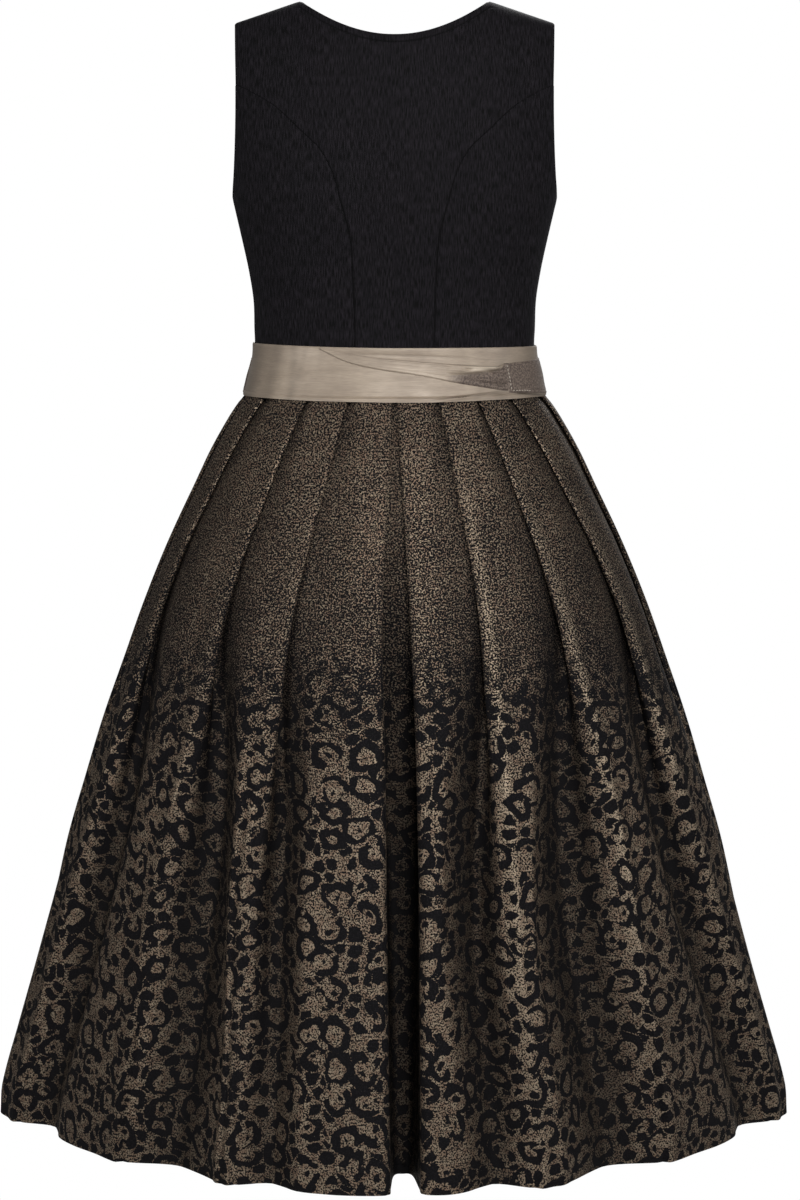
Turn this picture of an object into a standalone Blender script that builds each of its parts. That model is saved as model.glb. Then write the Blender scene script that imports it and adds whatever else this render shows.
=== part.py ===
"""A sleeveless dirndl with a pleated skirt and a satin sash, filled out as when worn.

Metres, +Z up. The garment's back faces -Y, its front faces +Y, and +X is the wearer's right.
The origin is midway between the two shoulder seams, where the wearer holds the dress up.
Every piece is a wall of cloth. Its outer face lies on one outline, read from the table RINGS,
and is given by an angle round the body: 0 at the centre back, 90 at the right side, 180 in front.
"""

import bisect
import math
from collections import namedtuple

import bmesh
import bpy
from mathutils import Vector

# Cloth and seams
WALL = 0.0015               # thickness of the bodice, skirt and sash cloth
SEAM_GAP = 0.0003           # between two pieces that are sewn together
LAY_GAP = 0.0007            # between a piece and the one that it lies on
LAYER_STEP = 0.0024         # from one layer of a pressed pleat to the next, middle to middle

# Heights above and below the shoulder line
SHOULDER_NECK = 0.0056      # shoulder seam at the neck
SHOULDER_TIP = -0.0150      # shoulder seam at the armhole
UNDERARM = -0.1780          # lowest point of the armhole
WAIST_SEAM = -0.3560        # bodice meets skirt, under the sash
SASH_TOP = -0.3165
SASH_BOTTOM_SIDE = -0.3635
SASH_DIP_BACK = 0.0050      # the sash's lower edge hangs this much lower at the centre back
SASH_DIP_FRONT = 0.0030
HEM = -1.0564

# Widths, each from the middle of the dress
NECK_HALF = 0.0887          # neckline at the shoulder seam
TIP_HALF = 0.1502           # shoulder tip
NECK_DROP_BACK = 0.0345     # neckline below the shoulder seam's neck end, centre back
NECK_DROP_FRONT = 0.0950    # the same, centre front
FAN_BACK = -0.1050          # above these heights the rows of points fan out to meet the neckline
FAN_FRONT = -0.1350

SQUARENESS = 2.2            # exponent of the bodice's oval sections: 2 is an ellipse
HEM_SPREAD = 1.0            # powers of the sine and the cosine in the hem's section, which is drawn
HEM_TAPER = 1.75            # out to a soft corner at each side
SHOULDER_ROUND = 2.4        # the same, for the section over the shoulder

# The outline from the shoulders to the hem. Depths are from the shoulder line to the back and to the front.
Ring = namedtuple("Ring", "height half_width back front")
RINGS = (
    Ring(-1.0564, 0.3852, 0.3090, 0.3030),
    Ring(-1.0267, 0.3838, 0.3030, 0.2970),
    Ring(-0.9676, 0.3690, 0.2910, 0.2850),
    Ring(-0.9086, 0.3528, 0.2780, 0.2730),
    Ring(-0.8498, 0.3368, 0.2645, 0.2595),
    Ring(-0.7913, 0.3210, 0.2500, 0.2460),
    Ring(-0.7329, 0.3015, 0.2350, 0.2310),
    Ring(-0.6748, 0.2819, 0.2195, 0.2165),
    Ring(-0.6169, 0.2602, 0.2035, 0.2015),
    Ring(-0.5592, 0.2391, 0.1860, 0.1840),
    Ring(-0.5017, 0.2155, 0.1660, 0.1640),
    Ring(-0.4444, 0.1887, 0.1430, 0.1410),
    Ring(-0.4158, 0.1752, 0.1290, 0.1270),
    Ring(-0.3873, 0.1593, 0.1120, 0.1100),
    Ring(-0.3721, 0.1495, 0.1030, 0.1010),
    Ring(-0.3635, 0.1426, 0.0970, 0.0955),
    Ring(-0.3560, 0.1398, 0.0942, 0.0930),
    Ring(-0.3446, 0.1371, 0.0915, 0.0905),
    Ring(-0.3304, 0.1337, 0.0885, 0.0880),
    Ring(-0.3165, 0.1322, 0.0872, 0.0872),
    Ring(-0.3000, 0.1328, 0.0875, 0.0885),
    Ring(-0.2737, 0.1337, 0.0885, 0.0960),
    Ring(-0.2454, 0.1381, 0.0910, 0.1075),
    Ring(-0.2172, 0.1441, 0.0945, 0.1160),
    Ring(-0.1890, 0.1506, 0.0975, 0.1195),
    Ring(-0.1780, 0.1530, 0.0983, 0.1194),
    Ring(-0.1300, 0.1580, 0.0995, 0.1145),
    Ring(-0.1000, 0.1595, 0.0990, 0.1060),
    Ring(-0.0600, 0.1600, 0.0970, 0.0940),
    Ring(0.0400, 0.1580, 0.0950, 0.0850),
)

# Lines on the bodice: half widths at heights, from the waist up
Mark = namedtuple("Mark", "height half_width")
PRINCESS_BACK = (
    Mark(-0.3560, 0.0360), Mark(-0.3165, 0.0370), Mark(-0.2900, 0.0375), Mark(-0.2540, 0.0388),
    Mark(-0.2142, 0.0416), Mark(-0.1820, 0.0500), Mark(-0.1560, 0.0573), Mark(-0.1338, 0.0695),
    Mark(-0.1180, 0.0860), Mark(-0.0950, 0.1107), Mark(-0.0820, 0.1320), Mark(-0.0745, 0.1468),
)
ARMHOLE_BACK = (
    Mark(-0.1780, 0.1530), Mark(-0.1690, 0.1524), Mark(-0.1560, 0.1512), Mark(-0.1330, 0.1498),
    Mark(-0.1050, 0.1489), Mark(-0.0745, 0.1488), Mark(-0.0490, 0.1494), Mark(-0.0150, 0.1502),
)
PRINCESS_FRONT = (
    Mark(-0.3560, 0.0430), Mark(-0.3000, 0.0480), Mark(-0.2500, 0.0640), Mark(-0.2050, 0.0800),
    Mark(-0.1700, 0.0900), Mark(-0.1400, 0.1010), Mark(-0.1150, 0.1150), Mark(-0.0980, 0.1280),
    Mark(-0.0900, 0.1350),
)
ARMHOLE_FRONT = (
    Mark(-0.1780, 0.1530), Mark(-0.1690, 0.1512), Mark(-0.1560, 0.1475), Mark(-0.1330, 0.1405),
    Mark(-0.1100, 0.1372), Mark(-0.0900, 0.1372), Mark(-0.0600, 0.1405), Mark(-0.0150, 0.1502),
)

# Where the bodice's rows of points lie: heights under the sash, then shares of the way from the sash to the
# underarm, from there to where the princess seam meets the armhole, and on to the shoulder.
SASH_HEIGHTS = (-0.3446, -0.3304, -0.3165)
WAIST_ROWS = (0.27, 0.54, 0.79, 1)
ARM_ROWS = (0.06, 0.20, 0.38, 0.58, 0.80, 1)
SHOULDER_ROWS = (0.30, 0.60, 0.82, 0.94, 1)

# Where the skirt's rows lie, as shares of its length
SKIRT_ROWS = (0, 0.0107, 0.020, 0.035, 0.08, 0.15, 0.24, 0.35, 0.48, 0.64, 0.82, 1)

# Pleats. Each fold's edge faces the middle of the back or of the front, and its angle is given at
# the waist, hip, knee and hem. lap is how far the cloth goes under it at the waist; valley and depth
# are the width and depth of the furrow beside it at the hem.
FOLD_STATIONS = (0, 0.27, 0.50, 1)
Fold = namedtuple("Fold", "waist hip knee hem lap valley depth")
BACK_FOLDS = (
    Fold(-82.0, -89.0, -97.0, -110.0, 0.022, 0.022, 0.010),
    Fold(-58.0, -66.6, -65.0, -69.0, 0.028, 0.034, 0.019),
    Fold(-33.0, -40.2, -40.0, -40.5, 0.030, 0.050, 0.023),
    Fold(-16.0, -21.8, -22.4, -22.0, 0.030, 0.028, 0.018),
    Fold(15.0, 17.8, 17.6, 18.8, 0.030, 0.030, 0.022),
    Fold(31.0, 38.0, 39.0, 39.8, 0.024, 0.052, 0.024),
    Fold(48.5, 61.6, 61.5, 71.0, 0.028, 0.034, 0.018),
    Fold(79.0, 88.0, 96.0, 109.5, 0.022, 0.022, 0.010),
)
FRONT_FOLDS = (
    Fold(126.0, 123.0, 123.0, 122.0, 0.028, 0.032, 0.018),
    Fold(147.5, 143.0, 142.0, 141.0, 0.030, 0.048, 0.022),
    Fold(164.5, 161.5, 161.0, 160.5, 0.030, 0.030, 0.018),
    Fold(195.5, 198.0, 198.5, 200.0, 0.030, 0.028, 0.019),
    Fold(212.0, 217.0, 218.5, 220.0, 0.030, 0.050, 0.023),
    Fold(233.5, 237.5, 238.0, 239.5, 0.028, 0.034, 0.017),
)

# The two inverted pleats, at the centre back and the centre front: the angles of their two edges
Inverted = namedtuple("Inverted", "waist hip knee hem")
BACK_EDGES = (Inverted(-1.0, -2.4, -1.6, -0.7), Inverted(1.0, 3.0, 3.8, 3.8))
FRONT_EDGES = (Inverted(179.0, 177.2, 176.8, 177.2), Inverted(181.0, 182.6, 182.8, 182.4))
INVERTED_LAP = 0.026        # how far the cloth goes under each edge at the waist
INVERTED_DEPTH = 0.072      # depth of the open pleat at the hem
EDGE_SINK = 0.0040          # the fold edges lie this much lower than the panels at the hem

# Side seams of the skirt, as angles at the waist, hip, knee and hem
RIGHT_SEAM = Inverted(94.0, 99.0, 105.0, 115.5)
LEFT_SEAM = Inverted(-96.0, -100.0, -106.0, -116.0)

# The pleats are pressed shut at the waist and fall open: share opened at shares of the skirt's length
OPENING = ((0, 0), (0.04, 0.01), (0.15, 0.07), (0.30, 0.27), (0.44, 0.58), (0.62, 0.86), (1, 1))
MID_SWELL = 0.6             # the furrows are this share deeper half-way down than at the hem

# Sash: columns all round, and the shares of its height where its rows lie
SASH_COLUMNS = 72
SASH_ROWS = (0, 0.20, 0.47, 0.73, 1)

# Waistband end: sewn in at the left side, round the front to its stitched end at the right back
BAND_START_ANGLE = 270.0
BAND_END_ANGLE = 46.5
BAND_STEP = 5.0             # degrees from one column to the next
BAND_TOP_SIDE, BAND_TOP_END = -0.3284, -0.3317
BAND_BOTTOM_SIDE, BAND_BOTTOM_END = -0.3622, -0.3588

# Gathered tie: fans out from the band's end across the back, from right to left
TieStation = namedtuple("TieStation", "angle top bottom")
TIE_STATIONS = (
    TieStation(-26.6, -0.3195, -0.3222),
    TieStation(-17.1, -0.3220, -0.3300),
    TieStation(-3.9, -0.3262, -0.3370),
    TieStation(8.5, -0.3292, -0.3425),
    TieStation(21.9, -0.3318, -0.3490),
    TieStation(33.6, -0.3335, -0.3535),
    TieStation(42.0, -0.3345, -0.3565),
    TieStation(46.3, -0.3322, -0.3570),
)
TIE_COLUMNS = 18
TIE_ROWS = (0, 0.33, 0.67, 1)
TIE_PUFF = 0.0030           # the gathers stand this proud of the sash beside the band's end
PUFF_REACH = 9.0            # degrees from the band's end to the middle of the puff

COLOURS = {
    "bodice_cloth": ((0.010, 0.010, 0.014, 1), 0.85),
    "skirt_brocade": ((0.060, 0.045, 0.030, 1), 0.60),
    "sash_satin": ((0.330, 0.265, 0.205, 1), 0.42),
    "band_satin": ((0.240, 0.190, 0.150, 1), 0.55),
}


def clear_scene():
    for thing in list(bpy.data.objects):
        bpy.data.objects.remove(thing, do_unlink=True)


def make_material(name):
    colour, roughness = COLOURS[name]
    material = bpy.data.materials.new(name)
    material.use_nodes = True
    shader = material.node_tree.nodes["Principled BSDF"]
    shader.inputs["Base Color"].default_value = colour
    shader.inputs["Roughness"].default_value = roughness
    shader.inputs["Metallic"].default_value = 0
    return material


# Reading the tables

def smooth_read(places, values, at):
    """Reads a smooth curve through a table. places rise; the ends are held."""
    if at <= places[0]:
        return values[0]
    if at >= places[-1]:
        return values[-1]
    low = bisect.bisect_right(places, at) - 1
    high = low + 1

    def slope(index):
        before, after = max(index - 1, 0), min(index + 1, len(places) - 1)
        return (values[after] - values[before]) / (places[after] - places[before])

    span = places[high] - places[low]
    share = (at - places[low]) / span
    rise = share * share * (3 - 2 * share)
    ease_in = share * (1 - share) ** 2
    ease_out = share * share * (1 - share)
    return (values[low] * (1 - rise) + values[high] * rise
            + span * (slope(low) * ease_in - slope(high) * ease_out))


def ring_at(height):
    heights = [ring.height for ring in RINGS]
    return [smooth_read(heights, [ring[column] for ring in RINGS], height) for column in (1, 2, 3)]


def line_at(marks, height):
    return smooth_read([mark.height for mark in marks], [mark.half_width for mark in marks], height)


def section_powers(height):
    """Powers of the sine and the cosine in the section at a height, from the waist's to the hem's."""
    share = min(max((WAIST_SEAM - height) / (WAIST_SEAM - HEM), 0), 1)
    oval = 2 / SQUARENESS
    return oval + (HEM_SPREAD - oval) * share, oval + (HEM_TAPER - oval) * share


def signed_power(value, power):
    return math.copysign(abs(value) ** power, value)


# The outline of the body

def ridge_height(x):
    """Height of the shoulder line above a point x from the middle."""
    slope = (SHOULDER_NECK - SHOULDER_TIP) / (TIP_HALF - NECK_HALF)
    return SHOULDER_NECK - slope * (abs(x) - NECK_HALF)


def body_point(angle, height, over=None):
    """A point of the outline. Above the underarm, over is the climb: 1 at the shoulder line, 2 down in front."""
    half_width, back, front = ring_at(height)
    turn = math.radians(angle)
    across, through = section_powers(height)
    x = half_width * signed_power(math.sin(turn), across)
    y = -signed_power(math.cos(turn), through)
    depth = back if y < 0 else front
    if over is None:
        return Vector((x, y * depth, height))
    climb = math.radians(90 * over)
    rise = abs(math.sin(climb)) ** (2 / SHOULDER_ROUND)
    roll = signed_power(math.cos(climb), 2 / SHOULDER_ROUND)
    depth = (back if y * roll < 0 else front)
    return Vector((x, y * roll * depth, UNDERARM + rise * (ridge_height(x) - UNDERARM)))


def angle_for(half_width, height, in_front):
    """The angle at which the outline is half_width from the middle."""
    widest = ring_at(height)[0]
    share = min(half_width / widest, 1) ** (SQUARENESS / 2)
    angle = math.degrees(math.asin(share))
    return 180 - angle if in_front else angle


def bodice_point(half_width, height, in_front):
    """A point of the bodice's outer face and its outward direction. half_width may be negative."""
    side = -1 if half_width < 0 else 1
    angle = angle_for(abs(half_width), height, in_front)
    nudge = 0.4
    if height <= UNDERARM:
        def face(a, h):
            return body_point(a, h)
        level, step = height, 0.001
    else:
        share = (height - UNDERARM) / (ridge_height(half_width) - UNDERARM)
        level = math.degrees(math.asin(min(share, 1) ** (SHOULDER_ROUND / 2))) / 90
        step = min(0.01, level / 2)

        def face(a, h):
            return body_point(a, height, h)
    here = face(angle, level)
    across = face(angle + nudge, level) - face(angle - nudge, level)
    upward = face(angle, level + step) - face(angle, level - step)
    outward = across.cross(upward).normalized()
    if outward.dot(Vector((here.x, here.y + (0.03 if in_front else -0.03), 0.02))) < 0:
        outward = -outward
    if height < SASH_HEIGHTS[0]:
        outward.z = 0
        outward.normalize()
    here.x *= side
    outward.x *= side
    return here, outward


# Making solids

def cloth_solid(name, outer, inner, material, ring=False):
    """Closes the space between two grids of points, a piece's outer and inner face, row by row."""
    mesh = bpy.data.meshes.new(name)
    build = bmesh.new()
    rows, columns = len(outer), len(outer[0])
    faces = [[[build.verts.new(point) for point in row] for row in grid] for grid in (outer, inner)]
    across = range(columns if ring else columns - 1)

    def strip(a, b, c, d, turned=False):
        halves = ((b, c, d), (b, d, a)) if turned else ((a, b, c), (a, c, d))
        for half in halves:
            build.faces.new(half)

    for row in range(rows - 1):
        for column in across:
            after = (column + 1) % columns
            corners = [(row, column), (row, after), (row + 1, after), (row + 1, column)]
            a, b, c, d = [outer[r][k] for r, k in corners]
            turned = (b - d).length < (a - c).length
            for sheet in faces:
                strip(*[sheet[r][k] for r, k in corners], turned)
    front, back = faces
    for row in (0, rows - 1):
        for column in across:
            after = (column + 1) % columns
            strip(front[row][column], front[row][after], back[row][after], back[row][column])
    if not ring:
        for column in (0, columns - 1):
            for row in range(rows - 1):
                strip(front[row][column], front[row + 1][column], back[row + 1][column], back[row][column])
    bmesh.ops.recalc_face_normals(build, faces=build.faces)
    build.to_mesh(mesh)
    build.free()
    mesh.shade_smooth()
    mesh.set_sharp_from_angle(angle=math.radians(50))
    piece = bpy.data.objects.new(name, mesh)
    piece.data.materials.append(material)
    bpy.context.collection.objects.link(piece)
    return piece


def layer(points_and_directions, low, high):
    """Two grids, high and low above a grid of points, along each point's outward direction."""
    outer = [[point + direction * high for point, direction in row] for row in points_and_directions]
    inner = [[point + direction * low for point, direction in row] for row in points_and_directions]
    return outer, inner


# Bodice

def neckline(half_width, in_front):
    """Height of the bodice's top edge: the neckline's curve, then the shoulder line."""
    if half_width >= NECK_HALF:
        return ridge_height(half_width)
    drop = NECK_DROP_FRONT if in_front else NECK_DROP_BACK
    return SHOULDER_NECK - drop * (1 - (half_width / NECK_HALF) ** 2)


def centre_shares():
    """Columns across a centre panel as shares of its half width, one of them at the neck's end."""
    neck = NECK_HALF / TIP_HALF
    inside = (0, 0.25, 0.5, 0.72, 0.88, 1)
    outside = (0.45, 1)
    half = [neck * share for share in inside] + [neck + (1 - neck) * share for share in outside]
    return [-share for share in reversed(half[1:])] + half


CENTRE_SHARES = centre_shares()


def half_seam(marks, height):
    """Half the gap at a seam, measured level: more where the seam runs aslant."""
    step = 0.002
    slant = (line_at(marks, height + step) - line_at(marks, height - step)) / (2 * step)
    return SEAM_GAP / 2 * math.hypot(1, slant)


def seam_heights(join):
    """Heights of the rows that the princess seam runs through, from the waist to the armhole."""
    middle = [SASH_TOP + (UNDERARM - SASH_TOP) * share for share in WAIST_ROWS]
    upper = [UNDERARM + (join - UNDERARM) * share for share in ARM_ROWS]
    return [WAIST_SEAM + SEAM_GAP / 2, *SASH_HEIGHTS, *middle, *upper]


def centre_panel(name, in_front, material):
    princess = PRINCESS_FRONT if in_front else PRINCESS_BACK
    armhole = ARMHOLE_FRONT if in_front else ARMHOLE_BACK
    fan = FAN_FRONT if in_front else FAN_BACK
    join = princess[-1].height
    edges = [(height, line_at(princess, height) - half_seam(princess, height))
             for height in seam_heights(join)]
    for share in SHOULDER_ROWS:
        height = join + (SHOULDER_TIP - join) * share
        edges.append((height, line_at(armhole, height)))
    grid = []
    for edge_height, edge in edges:
        row = []
        share_up = max(edge_height - fan, 0) / (SHOULDER_TIP - fan)
        for share_across in CENTRE_SHARES:
            top = neckline(abs(share_across) * TIP_HALF, in_front)
            height = min(edge_height, fan) + (top - fan) * share_up
            half_width = edge * share_across
            point, direction = bodice_point(half_width, height, in_front)
            if edge_height == SHOULDER_TIP and abs(half_width) >= NECK_HALF * 0.99:
                point.y += SEAM_GAP / 2 if in_front else -SEAM_GAP / 2
            row.append((point, direction))
        grid.append(row)
    return cloth_solid(name, *layer(grid, -WALL, 0), material)


def side_panel(name, side, in_front, material):
    """The panel from the princess seam to the side seam. side is 1 on the right and -1 on the left."""
    princess = PRINCESS_FRONT if in_front else PRINCESS_BACK
    armhole = ARMHOLE_FRONT if in_front else ARMHOLE_BACK
    columns = 6
    grid = []
    for height in seam_heights(princess[-1].height):
        near = angle_for(line_at(princess, height) + half_seam(princess, height), height, in_front)
        far = angle_for(line_at(armhole, height), height, in_front)
        if height <= UNDERARM:
            gap_angle = math.degrees(SEAM_GAP / 2 / ring_at(height)[0]) * 3
            far = 90 + gap_angle if in_front else 90 - gap_angle
        row = []
        for column in range(columns + 1):
            angle = near + (far - near) * column / columns
            share = abs(math.sin(math.radians(angle))) ** (2 / SQUARENESS)
            half_width = side * ring_at(height)[0] * share
            row.append(bodice_point(half_width, height, in_front))
        grid.append(row)
    return cloth_solid(name, *layer(grid, -WALL, 0), material)


# Skirt

class Outline:
    """The dress's outline at one height, measured along its length from the centre back."""

    STEP = 1.0

    def __init__(self, height):
        self.angles = [self.STEP * index for index in range(int(-135 / self.STEP), int(315 / self.STEP) + 1)]
        self.points = [body_point(angle, height) for angle in self.angles]
        start = self.angles.index(0)
        lengths = [0.0]
        for before, after in zip(self.points, self.points[1:]):
            lengths.append(lengths[-1] + (after - before).length)
        self.lengths = [length - lengths[start] for length in lengths]

    def length_at(self, angle):
        share = (angle - self.angles[0]) / self.STEP
        low = min(int(share), len(self.angles) - 2)
        return self.lengths[low] + (share - low) * (self.lengths[low + 1] - self.lengths[low])

    def point_at(self, length):
        low = bisect.bisect_right(self.lengths, length) - 1
        low = max(0, min(low, len(self.lengths) - 2))
        share = (length - self.lengths[low]) / (self.lengths[low + 1] - self.lengths[low])
        return self.points[low].lerp(self.points[low + 1], share)

    def place(self, length, depth):
        """The point depth inside the outline."""
        reach = 0.008
        here = self.point_at(length)
        along = self.point_at(length + reach) - self.point_at(length - reach)
        inward = Vector((-along.y, along.x, 0)).normalized()
        return here + inward * depth


def along_fold(row, share):
    """A fold's angle, part of the way down the skirt."""
    return smooth_read(FOLD_STATIONS, (row.waist, row.hip, row.knee, row.hem), share)


def opening_at(share):
    return smooth_read([place for place, _ in OPENING], [opened for _, opened in OPENING], share)


def swell_at(share):
    """How much deeper the furrows are than at the hem."""
    return 1 + MID_SWELL * math.sin(math.pi * share)


def fold_profile(lap, valley, depth, opened, room):
    """Cloth across one fold, from its furrow's inner side to its edge at 0: (place, depth) pairs.

    Pressed, the cloth runs under the edge by lap, turns back and comes up round the edge.
    Opened, it is a furrow, whose lowest line lies valley to the inner side of the edge."""
    step = LAYER_STEP
    inner = min(1.1 * valley, 0.8 * (room - valley))
    pressed = (
        (-1.2 * step, 2 * step), (0.4 * lap, 2 * step), (lap, 2 * step), (lap + 0.5 * step, 1.5 * step),
        (lap, step), (0.4 * lap, step), (0, step), (-0.5 * step, 0.5 * step), (0, 0),
    )
    furrow = (
        (-valley - inner, 0.10 * depth), (-valley - 0.5 * inner, 0.62 * depth), (-valley, depth),
        (-0.78 * valley, 0.95 * depth), (-0.55 * valley, 0.74 * depth), (-0.34 * valley, 0.45 * depth),
        (-0.17 * valley, 0.20 * depth), (-0.06 * valley, 0.05 * depth), (0.06 * valley, 0),
    )
    sink = EDGE_SINK * opened
    return [((1 - opened) * shut[0] + opened * wide[0],
             (1 - opened) * shut[1] + opened * wide[1] + sink)
            for shut, wide in zip(pressed, furrow)]


def inverted_profile(opened, half_gap):
    """Half of an inverted pleat, from the middle of its floor to its edge at 0."""
    step, lap, depth = LAYER_STEP, INVERTED_LAP, INVERTED_DEPTH
    pressed = (
        (0.4 * lap, 2 * step), (lap, 2 * step), (lap + 0.5 * step, 1.5 * step), (lap, step),
        (0.4 * lap, step), (0, step), (-0.5 * step, 0.5 * step), (0, 0),
    )
    wall = 0.30 * half_gap
    furrow = (
        (-0.55 * half_gap, depth), (-0.30 * half_gap, 0.95 * depth), (-0.5 * wall, 0.82 * depth),
        (-0.3 * wall, 0.62 * depth), (-0.2 * wall, 0.42 * depth), (-0.1 * wall, 0.22 * depth),
        (-0.1 * wall, 0.06 * depth), (0.8 * wall, 0),
    )
    sink = EDGE_SINK * opened
    return [((1 - opened) * shut[0] + opened * wide[0],
             (1 - opened) * shut[1] + opened * wide[1] + sink)
            for shut, wide in zip(pressed, furrow)]


def half_path(outline, share, folds, edge, centre, seam, side):
    """The cloth's middle line from the middle of an inverted pleat out to a side seam.

    Its points are (distance outward, depth inside the outline). side is 1 where outward is the way
    that the angle grows, and -1 where it falls."""
    opened = opening_at(share)
    start = outline.length_at(centre)

    def outward(angle):
        return side * (outline.length_at(angle) - start)

    edge_place = outward(along_fold(edge, share))
    path = [(0, (1 - opened) * 2 * LAYER_STEP + opened * (INVERTED_DEPTH + EDGE_SINK))]
    path += [(edge_place + place, depth) for place, depth in inverted_profile(opened, edge_place)]
    lap = INVERTED_LAP
    stops = [(outward(along_fold(fold, share)), fold) for fold in folds]
    for place, fold in stops:
        before_place, before_depth = path[-1]
        depth = fold.depth * swell_at(share)
        profile = fold_profile(fold.lap, fold.valley, depth, opened, place - before_place)
        first_place, first_depth = place + profile[0][0], profile[0][1]
        room = first_place - before_place
        for part in (0.5, 1):
            shut = (lap + 0.9 * LAYER_STEP) * part
            wide = room * part * 2 / 3
            fall = (2 / 3 * part) ** 1.5
            crown = EDGE_SINK * 4 * (2 / 3 * part) * (1 - 2 / 3 * part)
            sunk = max(before_depth + (first_depth - before_depth) * fall - crown, 0)
            path.append((before_place + (1 - opened) * shut + opened * wide, opened * sunk))
        path += [(place + u, depth) for u, depth in profile]
        lap = fold.lap
    seam_place = outward(along_fold(seam, share)) - SEAM_GAP / 2
    before_place, before_depth = path[-1]
    for part in (0.33, 0.67):
        path.append((before_place + (seam_place - before_place) * part, before_depth * (1 - part) ** 2))
    return path + [(seam_place, 0)]


def skirt_path(outline, share, folds, edges, seams, middle):
    """The cloth's middle line at one height, from seam to seam: (length round the outline, depth)."""
    centre = sum(along_fold(edge, share) for edge in edges) / 2
    before = [fold for fold in reversed(folds) if fold.waist < middle]
    after = [fold for fold in folds if fold.waist > middle]
    first = half_path(outline, share, before, edges[0], centre, seams[0], -1)
    second = half_path(outline, share, after, edges[1], centre, seams[1], 1)
    start = outline.length_at(centre)
    return ([(start - place, depth) for place, depth in reversed(first[1:])]
            + [(start + place, depth) for place, depth in second])


def beside(path, distance):
    """The path moved sideways, outward where distance is positive, with its corners mitred."""
    moved = []
    for index, (place, depth) in enumerate(path):
        directions = []
        for low, high in ((index - 1, index), (index, index + 1)):
            if low >= 0 and high < len(path):
                run, fall = path[high][0] - path[low][0], path[high][1] - path[low][1]
                size = math.hypot(run, fall)
                directions.append((fall / size, -run / size))
        x = sum(direction[0] for direction in directions)
        y = sum(direction[1] for direction in directions)
        size = math.hypot(x, y)
        mitre = min(2 / size if len(directions) == 2 else 1, 1.25)
        moved.append((place + distance * mitre * x / size, depth + distance * mitre * y / size))
    return moved


def skirt_panel(name, folds, edges, seams, middle, material):
    outer, inner = [], []
    top = WAIST_SEAM - SEAM_GAP / 2
    for share in SKIRT_ROWS:
        outline = Outline(top + (HEM - top) * share)
        path = skirt_path(outline, share, folds, edges, seams, middle)
        outer.append([outline.place(place, depth + WALL / 2) for place, depth in beside(path, WALL / 2)])
        inner.append([outline.place(place, depth + WALL / 2) for place, depth in beside(path, -WALL / 2)])
    return cloth_solid(name, outer, inner, material)


# Sash

def sash_face(angle, height):
    """A point of the dress under the sash, and its outward direction."""
    nudge, step = 0.4, 0.001
    here = body_point(angle, height)
    across = body_point(angle + nudge, height) - body_point(angle - nudge, height)
    upward = body_point(angle, height + step) - body_point(angle, height - step)
    outward = across.cross(upward).normalized()
    return here, outward


def sash_bottom(angle):
    level = math.cos(math.radians(angle))
    dip = SASH_DIP_BACK if level > 0 else SASH_DIP_FRONT
    return SASH_BOTTOM_SIDE - dip * level * level


def sash_wrap(material):
    grid = []
    for share in SASH_ROWS:
        row = []
        for column in range(SASH_COLUMNS):
            angle = 360 * column / SASH_COLUMNS
            bottom = sash_bottom(angle)
            row.append(sash_face(angle, bottom + (SASH_TOP - bottom) * share))
        grid.append(row)
    return cloth_solid("sash_wrap", *layer(grid, LAY_GAP, LAY_GAP + WALL), material, ring=True)


def waistband_end(material):
    low = 2 * LAY_GAP + WALL
    count = round((BAND_START_ANGLE - BAND_END_ANGLE) / BAND_STEP)
    grid = [[], [], []]
    for column in range(count + 1):
        angle = BAND_END_ANGLE + (BAND_START_ANGLE - BAND_END_ANGLE) * column / count
        toward_side = min((angle - BAND_END_ANGLE) / (90 - BAND_END_ANGLE), 1)
        top = BAND_TOP_END + (BAND_TOP_SIDE - BAND_TOP_END) * toward_side
        bottom = BAND_BOTTOM_END + (BAND_BOTTOM_SIDE - BAND_BOTTOM_END) * toward_side
        for row, height in zip(grid, (bottom, (top + bottom) / 2, top)):
            row.append(sash_face(angle, height))
    return cloth_solid("waistband_end", *layer(grid, low, low + WALL), material)


def gathered_tie(material):
    low = 2 * LAY_GAP + WALL
    angles = [station.angle for station in TIE_STATIONS]
    tops = [station.top for station in TIE_STATIONS]
    bottoms = [station.bottom for station in TIE_STATIONS]
    outer, inner = [], []
    for share in TIE_ROWS:
        outer_row, inner_row = [], []
        for column in range(TIE_COLUMNS + 1):
            angle = angles[0] + (angles[-1] - angles[0]) * column / TIE_COLUMNS
            top, bottom = smooth_read(angles, tops, angle), smooth_read(angles, bottoms, angle)
            point, outward = sash_face(angle, bottom + (top - bottom) * share)
            from_end = (angles[-1] - angle) / PUFF_REACH - 1
            puff = TIE_PUFF * math.sin(math.pi * share) * math.exp(-from_end * from_end)
            outer_row.append(point + outward * (low + WALL + puff))
            inner_row.append(point + outward * low)
        outer.append(outer_row)
        inner.append(inner_row)
    return cloth_solid("sash_tie_gathered", outer, inner, material)


def build_dirndl():
    clear_scene()
    materials = {name: make_material(name) for name in COLOURS}
    bodice, brocade = materials["bodice_cloth"], materials["skirt_brocade"]
    for in_front, face in ((False, "back"), (True, "front")):
        centre_panel("bodice_" + face + "_centre", in_front, bodice)
        for side, hand in ((-1, "left"), (1, "right")):
            side_panel("bodice_" + face + "_side_" + hand, side, in_front, bodice)
    left_again = Inverted(*[angle + 360 for angle in LEFT_SEAM])
    skirt_panel("skirt_back", BACK_FOLDS, BACK_EDGES, (LEFT_SEAM, RIGHT_SEAM), 0, brocade)
    skirt_panel("skirt_front", FRONT_FOLDS, FRONT_EDGES, (RIGHT_SEAM, left_again), 180, brocade)
    sash_wrap(materials["sash_satin"])
    waistband_end(materials["band_satin"])
    gathered_tie(materials["sash_satin"])


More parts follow.
